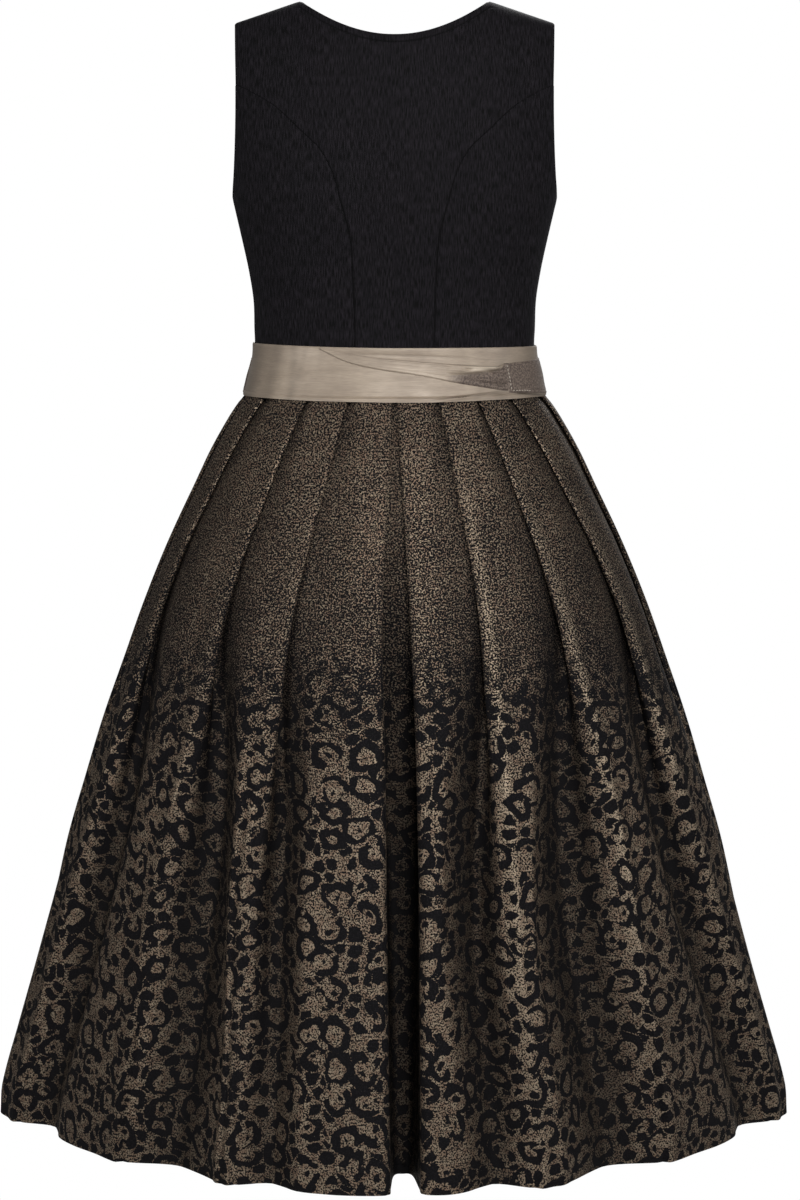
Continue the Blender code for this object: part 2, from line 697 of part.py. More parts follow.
build_dirndl()
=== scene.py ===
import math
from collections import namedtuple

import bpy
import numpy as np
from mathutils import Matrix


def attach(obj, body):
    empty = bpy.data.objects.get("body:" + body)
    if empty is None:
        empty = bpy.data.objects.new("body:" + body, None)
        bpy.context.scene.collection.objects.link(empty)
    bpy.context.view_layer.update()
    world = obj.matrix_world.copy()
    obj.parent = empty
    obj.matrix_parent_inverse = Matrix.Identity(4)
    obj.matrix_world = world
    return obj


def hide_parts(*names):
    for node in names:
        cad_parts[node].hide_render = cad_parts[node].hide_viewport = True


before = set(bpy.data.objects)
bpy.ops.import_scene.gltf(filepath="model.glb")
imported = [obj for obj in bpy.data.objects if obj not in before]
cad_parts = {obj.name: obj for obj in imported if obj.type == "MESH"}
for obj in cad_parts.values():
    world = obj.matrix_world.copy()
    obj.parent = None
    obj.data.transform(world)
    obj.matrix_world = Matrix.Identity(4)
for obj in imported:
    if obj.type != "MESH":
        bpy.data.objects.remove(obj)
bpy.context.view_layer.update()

# A sleeveless dirndl, filled out as when worn: a fitted dark bodice, a satin sash with a gathered tie,
# and a long skirt of pleated bronze brocade whose spots fade out towards the waist.
#
# Metres, +Z up. The back of the dress faces -Y, and +X is the wearer's right. A place on the dress is
# given by its height and by an angle round the body: 0 at the centre back, 90 at the right side.
# A share runs from 0 to 1, on the skirt from the waist seam down to the hem. A colour is its red,
# green and blue.
#
# Points of a sheet carry marks that its materials read:
#   groove      on the bodice, painted shade: 1 in the bottom of a seam or of a row of topstitching
#   fold_depth  on the skirt, for painted shade: 1 deep in a furrow and up to half as much again in an
#   inverted pleat,
#               under 0 where a crest gets a painted highlight, and 2 on a strip at the foot of an inverted
#               pleat's floor that is made fully dark
#   watering_and_painted_light  on the satin, over 0 in the dark streaks of its watering and in painted shade,
#   and under 0 in a painted highlight
#   turned      on the satin, 1 where its dull wrong side shows

# Cloth and seams
WALL = 0.0015               # the solids' cloth
BODICE_CLOTH = 0.0012
BROCADE = 0.0010
SATIN = 0.0009
SEAM_GAP = 0.0003
LAY_GAP = 0.0007
LAYER_STEP = 0.0024         # from one layer of a pressed pleat to the next, middle to middle
SASH_CLEARANCE = 0.0002     # under cloth that lies on the sash
ON_SASH = LAY_GAP + WALL + SATIN + SASH_CLEARANCE

# Heights above and below the shoulder line
SHOULDER_NECK = 0.0056
SHOULDER_TIP = -0.0150
UNDERARM = -0.1780
WAIST_SEAM = -0.3560
SASH_TOP = -0.3165
SASH_BOTTOM_SIDE = -0.3635
SASH_DIP_BACK = 0.0034
SASH_DIP_FRONT = 0.0030
SASH_RISE_LEFT = 0.0030
HEM = -1.0564
FLOOR = -1.3800

# Widths, each from the middle of the dress, and heights where the rows start to fan up to the neck
NECK_HALF = 0.0887
TIP_HALF = 0.1502
NECK_DROP_BACK = 0.0345
NECK_DROP_FRONT = 0.0950
FAN_BACK = -0.1050
FAN_FRONT = -0.1350

SQUARENESS = 2.2            # of the body's oval: 2 is an ellipse, and more is squarer
HEM_SPREAD, HEM_TAPER = 1.0, 1.75       # powers of the hem's outline, across and through the body
SHOULDER_ROUND = 2.4        # of the roll over the shoulder, as SQUARENESS is of the oval

Ring = namedtuple("Ring", "height half_width back front")
RINGS = (
    Ring(-1.0564, 0.3852, 0.3090, 0.3030),
    Ring(-1.0267, 0.3838, 0.3030, 0.2970),
    Ring(-0.9676, 0.3690, 0.2910, 0.2850),
    Ring(-0.9086, 0.3528, 0.2780, 0.2730),
    Ring(-0.8498, 0.3368, 0.2645, 0.2595),
    Ring(-0.7913, 0.3210, 0.2500, 0.2460),
    Ring(-0.7329, 0.3015, 0.2350, 0.2310),
    Ring(-0.6748, 0.2819, 0.2195, 0.2165),
    Ring(-0.6169, 0.2602, 0.2035, 0.2015),
    Ring(-0.5592, 0.2391, 0.1860, 0.1840),
    Ring(-0.5017, 0.2155, 0.1660, 0.1640),
    Ring(-0.4444, 0.1887, 0.1430, 0.1410),
    Ring(-0.4158, 0.1752, 0.1290, 0.1270),
    Ring(-0.3873, 0.1593, 0.1120, 0.1100),
    Ring(-0.3721, 0.1495, 0.1030, 0.1010),
    Ring(-0.3635, 0.1426, 0.0970, 0.0955),
    Ring(-0.3560, 0.1398, 0.0942, 0.0930),
    Ring(-0.3446, 0.1371, 0.0915, 0.0905),
    Ring(-0.3304, 0.1337, 0.0885, 0.0880),
    Ring(-0.3165, 0.1322, 0.0872, 0.0872),
    Ring(-0.3000, 0.1328, 0.0875, 0.0885),
    Ring(-0.2737, 0.1337, 0.0885, 0.0960),
    Ring(-0.2454, 0.1381, 0.0910, 0.1075),
    Ring(-0.2172, 0.1441, 0.0945, 0.1160),
    Ring(-0.1890, 0.1506, 0.0975, 0.1195),
    Ring(-0.1780, 0.1530, 0.0983, 0.1194),
    Ring(-0.1300, 0.1580, 0.0995, 0.1145),
    Ring(-0.1000, 0.1595, 0.0990, 0.1060),
    Ring(-0.0600, 0.1600, 0.0970, 0.0940),
    Ring(0.0400, 0.1580, 0.0950, 0.0850),
)

Mark = namedtuple("Mark", "height half_width")
PRINCESS_BACK = (
    Mark(-0.3560, 0.0360), Mark(-0.3165, 0.0370), Mark(-0.2900, 0.0375), Mark(-0.2540, 0.0388),
    Mark(-0.2142, 0.0416), Mark(-0.1820, 0.0500), Mark(-0.1560, 0.0573), Mark(-0.1338, 0.0695),
    Mark(-0.1180, 0.0860), Mark(-0.0950, 0.1107), Mark(-0.0820, 0.1320), Mark(-0.0745, 0.1468),
)
ARMHOLE_BACK = (
    Mark(-0.1780, 0.1530), Mark(-0.1690, 0.1524), Mark(-0.1560, 0.1512), Mark(-0.1330, 0.1498),
    Mark(-0.1050, 0.1489), Mark(-0.0745, 0.1488), Mark(-0.0490, 0.1494), Mark(-0.0150, 0.1502),
)
PRINCESS_FRONT = (
    Mark(-0.3560, 0.0430), Mark(-0.3000, 0.0480), Mark(-0.2500, 0.0640), Mark(-0.2050, 0.0800),
    Mark(-0.1700, 0.0900), Mark(-0.1400, 0.1010), Mark(-0.1150, 0.1150), Mark(-0.0980, 0.1280),
    Mark(-0.0900, 0.1350),
)
ARMHOLE_FRONT = (
    Mark(-0.1780, 0.1530), Mark(-0.1690, 0.1512), Mark(-0.1560, 0.1475), Mark(-0.1330, 0.1405),
    Mark(-0.1100, 0.1372), Mark(-0.0900, 0.1372), Mark(-0.0600, 0.1405), Mark(-0.0150, 0.1502),
)

# Rows and columns of the bodice. A stretch is cut evenly into the points that its count says
Stretch = namedtuple("Stretch", "low high count")
CENTRE_LOW_ROWS = 56
CENTRE_TOP_ROWS = (Stretch(0, 0.86, 28), Stretch(0.86, 1, 20))
JOIN_SPLIT = 0.0002         # two rows lie this far above and below the place where seam and armhole meet
NECK_COLUMNS = 34
SIDE_LOW_ROWS = 44
SAME = 1e-6                 # heights closer than this are one height

# Bodice seams and edges
UNDERLAP, TUCK = 0.0012, 0.0018     # of the side panels under the centre ones: how far, and how deep
SEAM_SHADE = 0.0011         # how far the painted shade of a seam's groove spreads over the cloth
Roll = namedtuple("Roll", "reach depth")        # of the turn of cloth at an edge
Swell = namedtuple("Swell", "place width height")       # a ridge, or a groove where height is under 0
NECK_ROLL = Roll(0.0022, 0.0007)
CENTRE_SIDE_ROLL = Roll(0.0026, 0.0009)
ARMHOLE_ROLL = Roll(0.0020, 0.0006)
NECK_EVEN, SIDE_EVEN = 0.03, 0.01   # the slack of the cloth dies out over this much beside an edge
NECK_SLANT = 0.95           # how far off the neckline is, for each metre straight up to it

# Slack of the bodice: slow ripples, and drag lines, each from one place across and up to another
Ripple = namedtuple("Ripple", "across upward turn height")
BODICE_RIPPLES = (Ripple(9, 5, 0.4, 0.00035), Ripple(5, -8, 1.9, 0.00030), Ripple(14, 3, 3.1, 0.00018))
FRONT_SLACK = 0.8
DragLine = namedtuple("DragLine", "side start end width height")
DRAG_LINES = (
    DragLine(1, (0.128, -0.300), (0.070, -0.262), 0.006, 0.0010),
    DragLine(1, (0.132, -0.262), (0.085, -0.236), 0.005, -0.0008),
    DragLine(-1, (0.126, -0.308), (0.060, -0.276), 0.006, 0.0011),
    DragLine(-1, (0.134, -0.250), (0.095, -0.215), 0.006, -0.0009),
    DragLine(1, (0.146, -0.160), (0.100, -0.120), 0.008, 0.0012),
    DragLine(-1, (0.146, -0.150), (0.105, -0.105), 0.008, 0.0011),
    DragLine(1, (0.030, -0.312), (0.018, -0.262), 0.005, -0.0006),
    DragLine(-1, (0.024, -0.312), (0.030, -0.256), 0.005, -0.0007),
)

# Places on the flat cloth, moved apart so that no two pieces show the same stretch of weave
FRONT_CLOTH, SIDE_CLOTH, TIE_CLOTH = 3.0, 0.4, 1.0

# Pleats: the angles of each fold's edge at the waist, hip, knee and hem, how far the cloth goes under
# it at the waist, and the width and depth of the furrow beside it at the hem
FOLD_STATIONS = (0, 0.27, 0.50, 1)
Fold = namedtuple("Fold", "waist hip knee hem lap valley depth")
BACK_FOLDS = (
    Fold(-82.0, -89.0, -97.0, -110.0, 0.022, 0.022, 0.010),
    Fold(-58.0, -66.6, -65.0, -69.0, 0.028, 0.034, 0.019),
    Fold(-33.0, -40.2, -40.0, -40.5, 0.030, 0.050, 0.023),
    Fold(-16.0, -21.8, -22.4, -22.0, 0.030, 0.028, 0.018),
    Fold(15.0, 17.8, 17.6, 18.8, 0.030, 0.030, 0.022),
    Fold(31.0, 38.0, 39.0, 39.8, 0.024, 0.052, 0.024),
    Fold(48.5, 61.6, 61.5, 71.0, 0.028, 0.034, 0.018),
    Fold(79.0, 88.0, 96.0, 109.5, 0.022, 0.022, 0.010),
)
FRONT_FOLDS = (
    Fold(126.0, 123.0, 123.0, 122.0, 0.028, 0.032, 0.018),
    Fold(147.5, 143.0, 142.0, 141.0, 0.030, 0.048, 0.022),
    Fold(164.5, 161.5, 161.0, 160.5, 0.030, 0.030, 0.018),
    Fold(195.5, 198.0, 198.5, 200.0, 0.030, 0.028, 0.019),
    Fold(212.0, 217.0, 218.5, 220.0, 0.030, 0.050, 0.023),
    Fold(233.5, 237.5, 238.0, 239.5, 0.028, 0.034, 0.017),
)
Edge = namedtuple("Edge", "waist hip knee hem")
BACK_EDGES = (Edge(-1.0, -2.4, -1.6, -0.7), Edge(1.0, 3.0, 3.8, 3.8))
FRONT_EDGES = (Edge(179.0, 177.2, 176.8, 177.2), Edge(181.0, 182.6, 182.8, 182.4))
RIGHT_SEAM = Edge(94.0, 99.0, 105.0, 115.5)
LEFT_SEAM = Edge(-96.0, -100.0, -106.0, -116.0)
LEFT_SEAM_AGAIN = Edge(264.0, 260.0, 254.0, 244.0)

# A skirt panel: its folds, the two edges of its inverted pleat, its two seams, the angle of its middle,
# its place on the flat cloth, and the flat cloth's size and area
Panel = namedtuple("Panel", "name folds edges seams middle shift flat area")
SKIRT_BACK = Panel("skirt_back", BACK_FOLDS, BACK_EDGES, (LEFT_SEAM, RIGHT_SEAM), 0, 0.0,
                   (1.37, 0.755), 0.88)
SKIRT_FRONT = Panel("skirt_front", FRONT_FOLDS, FRONT_EDGES, (RIGHT_SEAM, LEFT_SEAM_AGAIN), 180,
                    FRONT_CLOTH, (1.04, 0.742), 0.70)

INVERTED_LAP = 0.026
INVERTED_DEPTH = 0.072
EDGE_SINK = 0.0040          # of a fold's edge inside the outline, where the fold is open
CREST_RUN, CREST_RISE = 0.0065, 0.0022     # of the rounded crest beside an opened fold's edge
MID_SWELL = 0.6             # how much deeper the furrows are halfway down

# Values that change down the skirt, each with the share where it is given: how far the pleats are open,
# how much painted shade an inverted pleat's recess gets, and how much painted highlight the crests get
Level = namedtuple("Level", "share value")
OPENING = (
    Level(0, 0), Level(0.04, 0.01), Level(0.15, 0.07), Level(0.30, 0.27),
    Level(0.44, 0.58), Level(0.62, 0.86), Level(1, 1),
)
RECESS_SHADE = (Level(0, 0.75), Level(0.42, 0.75), Level(0.62, 1.45), Level(0.80, 1.30), Level(1, 1.00))
CREST_LIGHT = (Level(0, 0.15), Level(0.12, 0.40), Level(0.34, 1.0), Level(0.55, 0.75), Level(1, 0.40))

# The side of an opened furrow, and of an inverted pleat's recess: places as shares of the width, from
# the fold's edge at 0, and depths as shares of the whole depth
FlankPoint = namedtuple("FlankPoint", "place depth")
FURROW_FLANK = (
    FlankPoint(-1, 1), FlankPoint(-0.78, 0.95), FlankPoint(-0.55, 0.74), FlankPoint(-0.34, 0.45),
    FlankPoint(-0.17, 0.20), FlankPoint(-0.06, 0.05), FlankPoint(0.06, 0),
)
RECESS_FLANK = (
    FlankPoint(-0.55, 1), FlankPoint(-0.30, 0.95), FlankPoint(-0.15, 0.82), FlankPoint(-0.09, 0.62),
    FlankPoint(-0.06, 0.42), FlankPoint(-0.03, 0.22), FlankPoint(-0.03, 0.06), FlankPoint(0.24, 0),
)
RECESS_STRETCHES, FLOOR_STRETCHES = 8, 2    # of the cloth's path, from the middle of an inverted pleat

# Wander of a fold's edge below the hip, in degrees, and its waves down the skirt. Each fold starts
# them at a phase of its own, so that no two folds wander alike
FOLD_WANDER, WANDER_TOP = 0.55, 0.12
WanderWave = namedtuple("WanderWave", "part waves phase")
WANDER_WAVES = (WanderWave(1.0, 7.3, 1.0), WanderWave(0.5, 17.0, 2.1))
FOLD_PHASE = 0.37

# Sway of the hanging cloth: waves round the dress, that wind as they go down
SwayWave = namedtuple("SwayWave", "part waves wind turn")
SLOW_SWAY = (SwayWave(0.50, 5, 4.0, 0.6), SwayWave(0.35, 9, -5.0, 2.0), SwayWave(0.30, 14, 3.0, 4.4))
QUICK_SWAY = (SwayWave(0.22, 31, 9.0, 0.0), SwayWave(0.18, 43, -12.0, 1.0))
SLOW_REACH, QUICK_REACH = 0.0028, 0.0016
SWAY_FROM = 0.05            # the sway is whole from this share down
DEPTH_TO_WIDTH = 1.25       # width of the skirt for each metre of its depth

# Shade and light of the folds
DEEP_TOP, DEEP_HEM = 0.006, 0.030   # the painted shade is darkest this far down in a furrow
CREST_WIDTH = 0.0062        # of the light that a crest catches
EDGE_LIGHT = 0.4            # of an inverted pleat's edge, beside a fold's
FAR_LIGHT = 0.35            # of the folds where the angle is less than the middle's, beside the others
PLAIN_STRIP = 0.985         # share below which an inverted pleat's floor is made fully dark
PLAIN_MARK = 2.0

SKIRT_ROWS = (Stretch(0, 0.04, 9), Stretch(0.04, 0.97, 112), Stretch(0.97, 1, 6))
SKIRT_STEP, MOST_STEPS = 0.0052, 7

# Sash
SASH_RADIUS = 0.118         # metres of sash for each radian round the body
SASH_COLUMNS = 420
SASH_ROWS = (Stretch(0, 0.24, 34), Stretch(0.24, 0.96, 34))
SASH_TOP_ROWS = (0.975, 0.988, 1)
SASH_BOTTOM_ROLL, SASH_TOP_ROLL = Roll(0.0022, 0.0007), Roll(0.0020, 0.0007)
SASH_RIPPLES = (Ripple(6, 12, 0.3, 0.0003), Ripple(11, -20, 1.2, 0.0002))
SASH_HEM = (Swell(0.0044, 0.0006, -0.0011), Swell(0.0024, 0.0013, 0.0007))
HEM_EVEN, HEM_UNEVEN = 0.60, 0.40       # share of the sash's hem that is alike all round, and that isn't
HEM_WAVES, HEM_TURN = 19, 1.0
Crease = namedtuple("Crease", "start end width height bow")     # its ends are places round the sash and up
SASH_CREASES = (
    Crease((0.018, -0.3655), (0.0964, -0.3574), 0.0010, -0.0013, 0.0006),
    Crease((0.026, -0.3668), (0.0964, -0.3594), 0.0011, 0.0011, 0.0006),
    Crease((0.0900, -0.3578), (0.172, -0.3636), 0.0011, -0.0013, -0.0008),
    Crease((0.0900, -0.3560), (0.172, -0.3612), 0.0013, 0.0007, -0.0008),
    Crease((-0.050, -0.3215), (0.090, -0.3290), 0.0010, -0.0006, 0.0010),
)
CREASE_SHADE = 350          # painted shade for each metre of a crease's depth

# Dark bands round the sash, by their place: the narrow ones are the satin's watering, and the two wide ones,
# at -0.150 and 0.150, are painted shade on the sides that turn away from the light
WaterMark = namedtuple("WaterMark", "place width depth slant")
WATERING_AND_SIDE_SHADE = (
    WaterMark(-0.150, 0.030, 0.62, 0.1), WaterMark(-0.108, 0.010, 0.34, 0.1),
    WaterMark(-0.088, 0.005, 0.26, -0.1), WaterMark(-0.074, 0.004, 0.14, 0.2),
    WaterMark(-0.058, 0.003, 0.08, 0.1), WaterMark(0.150, 0.045, 0.50, 0.2),
    WaterMark(0.098, 0.010, 0.22, 0.3), WaterMark(0.076, 0.006, 0.10, 0.3),
    WaterMark(0.052, 0.004, 0.10, -0.4),
)

# Waistband end
BAND_START_ANGLE = 268.0
BAND_END_ANGLE = 46.5
BAND_TOP_SIDE, BAND_TOP_END = -0.3284, -0.3317
BAND_BOTTOM_SIDE, BAND_BOTTOM_END = -0.3622, -0.3588
BAND_COLUMNS = 300
BAND_ROLL = Roll(0.0018, 0.0006)
BAND_STITCHED = Swell(0.0022, 0.0006, -0.0003)      # the groove along the stitches, by the edge
BAND_RIPPLES = (Ripple(9, 25, 0.5, 0.00025), Ripple(21, -15, 2.2, 0.00015))

# Gathered tie
TieStation = namedtuple("TieStation", "angle top bottom")
TIE_STATIONS = (
    TieStation(-29.4, -0.3167, -0.3172),
    TieStation(-26.0, -0.3180, -0.3208),
    TieStation(-17.1, -0.3215, -0.3296),
    TieStation(-3.9, -0.3262, -0.3370),
    TieStation(8.5, -0.3292, -0.3425),
    TieStation(21.9, -0.3318, -0.3490),
    TieStation(33.6, -0.3335, -0.3535),
    TieStation(42.0, -0.3345, -0.3565),
    TieStation(46.3, -0.3322, -0.3570),
)
RimMark = namedtuple("RimMark", "angle share")      # of the rim where the tie turns its wrong side out
TURNED_RIM = (
    RimMark(17.0, 0.30), RimMark(21.9, 0.42), RimMark(33.6, 0.67), RimMark(42.0, 0.86), RimMark(46.3, 1.0),
)
TIE_COLUMNS = 180
TIE_ROLL = Roll(0.0012, 0.0006)
TIE_PUFF, PUFF_REACH = 0.0022, 9.0          # how high it is, and how many degrees from the end
Gather = namedtuple("Gather", "waves start height")
GATHERS = (Gather(3.4, 0.15, 0.0009), Gather(5.3, 0.6, 0.0006))
GATHER_REACH, GATHER_START = 16.0, 1.5      # degrees back from the end
BUBBLE, RIM_HOLLOW = 0.0034, 0.0010         # the puff above the rim, and the hollow under it
DENT, DENT_ANGLE, DENT_SHARE = 0.0022, Swell(27.5, 1.6, 1), Swell(0.72, 0.07, 1)    # one dimple
Rise = namedtuple("Rise", "start span")     # angles over which something comes in, or fades out
BUBBLE_IN, BUBBLE_OUT = Rise(18, 6), Rise(45, -5)
TURNED_IN, CROWN_IN = Rise(17.5, 7.0), Rise(24, 6)
TOP_LINE_IN, TOP_LINE_DARKER = Rise(-24, 12), Rise(20, 6)
TOP_LINE_WIDTH, TOP_LINE, TOP_LINE_MORE = 0.0011, 0.30, 0.35    # painted shade along the tie's top edge
# painted shade under the tie's rim, and a painted highlight on the bubble's crown
RIM_SHADE, CROWN_GLEAM = 0.6, 0.65
RIM_SOFT = 0.07             # share of the tie's width over which its two sides meet at the rim

# Print: heights are lengths of cloth below the waist seam
ROSETTE = 0.0320            # from one rosette to the next
ROSETTE_SCATTER, SPOT_SCATTER = 0.72, 0.85
ROSETTE_OVAL = 0.76
SMALL_SPOT = 0.0150         # from one spot between them to the next
Spread = namedtuple("Spread", "least more")         # a size, and how much more it is at most
ROSETTE_SIZE, RING_THICK = Spread(0.0076, 0.0030), Spread(0.0005, 0.0050)
RING_MOUTH = Spread(-0.30, 1.35)        # half of its angle, in radians
DOT_SIZE, DOT_ASIDE = Spread(0.0004, 0.0026), (0.0012, -0.0010, 0)
SPOT_GAP, SPOT_REACH = 0.20, 0.43       # shares of SMALL_SPOT: from one spot to the next, and its own
ROSETTE_CLEAR = 0.0040      # no small spot starts nearer to a rosette
FADE_TOP, FADE_FULL = 0.130, 0.390
FADE_POWER = 2.6

# The brocade is bronze where its speckle, which is about a half on average, is over a threshold, which is
# lowered on the crests as a painted highlight
PLAIN_TOP, PLAIN_MIDDLE, GROUND_LESS = 0.526, 0.548, 0.046
SPOT_MORE, HEART_LESS, CREST_LESS = 0.22, 0.012, 0.022
SKIRT_LENGTH = 0.740        # along the cloth, waist seam to hem
Wander = namedtuple("Wander", "scale reach")        # of the print's uneven outlines
PRINT_WANDERS = (Wander(42.0, 0.0120), Wander(165.0, 0.0042), Wander(560.0, 0.0013))

# Topstitching
NECK_STITCH_DROP = 0.0066   # below the neckline
NECK_GROOVE = Swell(NECK_STITCH_DROP, 0.0007, -0.0009)
# how dark the painted shade along the neck's topstitching groove is
NECK_GROOVE_SHADE = 0.8
STITCH, STITCH_SPACE, THREAD = 0.0026, 0.0009, 0.00035
THREAD_HEIGHT, THREAD_LIFT = 0.8, 0.3   # of THREAD: half a stitch's height, and how far it is raised
BAND_STITCH_LIFT = 0.0003
BAND_STITCH_COLUMNS = 22

# Colours
WHITE = (1, 1, 1)
SLUB_DARK, SLUB_PALE = (0.0005, 0.0004, 0.0007), (0.0128, 0.0108, 0.0140)
CLOUD_DARK, CLOUD_PALE = (0.88, 0.88, 0.90), (1.10, 1.08, 1.08)
COTTON_SHEEN = (0.75, 0.75, 0.85)
# the next colour is painted shade in the bodice's seam and topstitching grooves
PAINTED_GROOVE_SHADE = (0.0004, 0.0004, 0.0005)
BRONZE_DARK, BRONZE_PALE = (0.215, 0.150, 0.106), (0.300, 0.238, 0.172)
# the next colour is a painted highlight on the fold crests
CREST_HIGHLIGHT = (0.480, 0.390, 0.285)
BLACK_DARK, BLACK_PALE = (0.0020, 0.0017, 0.0024), (0.0090, 0.0078, 0.0090)
# the next colour is painted shade in the skirt's furrows and recesses
FURROW_SHADE_COLOUR = (0.0026, 0.0022, 0.0026)
INSIDE_DARK, INSIDE_PALE = (0.0100, 0.0092, 0.0100), (0.040, 0.031, 0.024)
SATIN_PALE, SATIN_SHADE = (0.400, 0.325, 0.250), (0.300, 0.240, 0.185)
BAND_PALE, BAND_SHADE = (0.235, 0.185, 0.145), (0.190, 0.150, 0.118)
SATIN_BACK_DARK, SATIN_BACK_PALE = (0.074, 0.053, 0.043), (0.186, 0.143, 0.115)
# the next colour is a painted highlight on the satin
SATIN_GLEAM = (0.620, 0.530, 0.420)
FINE_DARK, FINE_PALE = (0.90, 0.90, 0.90), (1.06, 1.05, 1.04)
PALE_THREAD, DARK_THREAD = (0.62, 0.55, 0.46), (0.0022, 0.0022, 0.0028)
FLOOR_GREY = (0.35, 0.35, 0.35)

# Lights, and the camera at the photograph's place
Light = namedtuple("Light", "name place aim size power")
LIGHTS = (
    Light("key", (0.45, -2.60, 1.10), (0, 0, -0.50), 1.0, 55.0),
    Light("fill", (-1.90, -1.70, -0.05), (0, 0, -0.60), 1.0, 18.0),
    Light("side", (2.10, -1.30, -0.05), (0, 0, -0.60), 1.0, 15.0),
    Light("front", (0.60, 2.60, 1.10), (0, 0, -0.50), 1.2, 75.0),
)
ROOM_LIGHT = 0.13
FLOOR_SIZE = 60
CAMERA_PLACE = (0.0050, -3.3000, -0.2170)
CAMERA_DOWN = 5.92
LENS, SENSOR = 104.22, 36


# Reading the tables

def clamp(value):
    """The value, kept between 0 and 1."""
    return np.clip(value, 0, 1)


def bell(distance, width):
    """1 at no distance, falling softly to nothing over about twice the width."""
    return np.exp(-(distance / width)**2)


def run_of(stretches):
    """The points of stretches that follow each other, with the point where two of them meet there once."""
    runs = [np.linspace(*stretch) for stretch in stretches]
    return np.concatenate([run[:-1] for run in runs[:-1]] + runs[-1:])


def curve_weights(share):
    """A smooth curve's weights for its end, its slope at the start and its slope at the end."""
    return share**2 * (3 - 2 * share), share * (1 - share)**2, share**2 * (1 - share)


def read_smooth(places, values, at):
    """A smooth curve through a table, read at every number in at. places rise; the ends are held."""
    places, values = np.asarray(places, float), np.asarray(values, float)
    at = np.clip(np.asarray(at, float), places[0], places[-1])
    low = np.clip(np.searchsorted(places, at, side="right") - 1, 0, len(places) - 2)
    index = np.arange(len(places))
    before, after = np.maximum(index - 1, 0), np.minimum(index + 1, len(places) - 1)
    slopes = (values[after] - values[before]) / (places[after] - places[before])
    span = places[low + 1] - places[low]
    rise, ease_in, ease_out = curve_weights((at - places[low]) / span)
    return (values[low] * (1 - rise) + values[low + 1] * rise
            + span * (slopes[low] * ease_in - slopes[low + 1] * ease_out))


def read_table(table, at, places, values):
    """One named column of a table, read where another column has the numbers in at."""
    return read_smooth([getattr(row, places) for row in table], [getattr(row, values) for row in table], at)


def ring_at(height):
    return [read_table(RINGS, height, "height", column) for column in ("half_width", "back", "front")]


def line_at(marks, height):
    return read_table(marks, height, "height", "half_width")


def level_at(levels, share):
    return float(read_table(levels, share, "share", "value"))


def section_powers(height):
    share = clamp((WAIST_SEAM - height) / (WAIST_SEAM - HEM))
    oval = 2 / SQUARENESS
    return oval + (HEM_SPREAD - oval) * share, oval + (HEM_TAPER - oval) * share


def signed_power(value, power):
    return np.copysign(np.abs(value)**power, value)


def body_point(angle, height):
    """Points of the dress's outline below the underarm."""
    half_width, back, front = ring_at(height)
    turn = np.radians(angle)
    across, through = section_powers(height)
    x = half_width * signed_power(np.sin(turn), across)
    y = -signed_power(np.cos(turn), through)
    y = y * np.where(y < 0, back, front)
    return np.stack(np.broadcast_arrays(x, y, height), axis=-1)


def ridge_height(x):
    slope = (SHOULDER_NECK - SHOULDER_TIP) / (TIP_HALF - NECK_HALF)
    return SHOULDER_NECK - slope * (np.abs(x) - NECK_HALF)


def bodice_point(half_width, height, in_front):
    """Points of the bodice's outer face. half_width may be negative, for the left."""
    widest, back, front = ring_at(height)
    share = np.minimum(np.abs(half_width) / widest, 1)**(SQUARENESS / 2)
    level = np.sqrt(1 - share**2)**(2 / SQUARENESS)
    climb = clamp((height - UNDERARM) / (ridge_height(half_width) - UNDERARM))
    roll = np.sqrt(1 - climb**SHOULDER_ROUND)**(2 / SHOULDER_ROUND)
    y = level * roll * (front if in_front else -back)
    return np.stack(np.broadcast_arrays(half_width, y, height), axis=-1)


def outward_of(points):
    """Outward directions of a grid whose columns run the way the angle grows and whose rows run up."""
    along = np.gradient(points, axis=1)
    upward = np.gradient(points, axis=0)
    outward = np.cross(along, upward)
    return outward / np.maximum(np.linalg.norm(outward, axis=2, keepdims=True), 1e-12)


def run_along(points):
    """How far each point of a row of cloth is from the row's first point."""
    steps = np.linalg.norm(np.diff(points, axis=-2), axis=-1)
    return np.concatenate([np.zeros_like(steps[..., :1]), np.cumsum(steps, axis=-1)], axis=-1)


# Soft forms, each a height over a grid of places

def ripple(place, level, waves):
    """A sum of slow waves, so many across and up for each metre."""
    return sum(wave.height * np.sin(2 * math.pi * (wave.across * place + wave.upward * level) + wave.turn)
               for wave in waves)


def crease(place, level, start, end, width, height, bow=0):
    """One soft ridge, or a trough where height is negative, that dies out at both its ends."""
    run = np.array(end) - np.array(start)
    length = np.hypot(*run)
    along = ((place - start[0]) * run[0] + (level - start[1]) * run[1]) / length**2
    aside = ((level - start[1]) * run[0] - (place - start[0]) * run[1]) / length
    share = clamp(along)
    aside = aside - bow * 4 * share * (1 - share)
    fade = np.sin(math.pi * share)**0.8
    inside = (along > 0) & (along < 1)
    return np.where(inside, height * fade * bell(aside, width), 0)


def rising(angle, rise):
    """0 at the rise's start and before it, and 1 at its end and beyond."""
    return clamp((angle - rise.start) / rise.span)


def roll_in(distance, roll):
    """How far cloth turns in at an edge that is distance away."""
    return -roll.depth * clamp(1 - distance / roll.reach)**2


def swell(distance, form):
    return form.height * bell(distance - form.place, form.width)


# Making pieces

def deselect():
    if bpy.context.object and bpy.context.object.mode != "OBJECT":
        bpy.ops.object.mode_set(mode="OBJECT")
    bpy.ops.object.select_all(action="DESELECT")


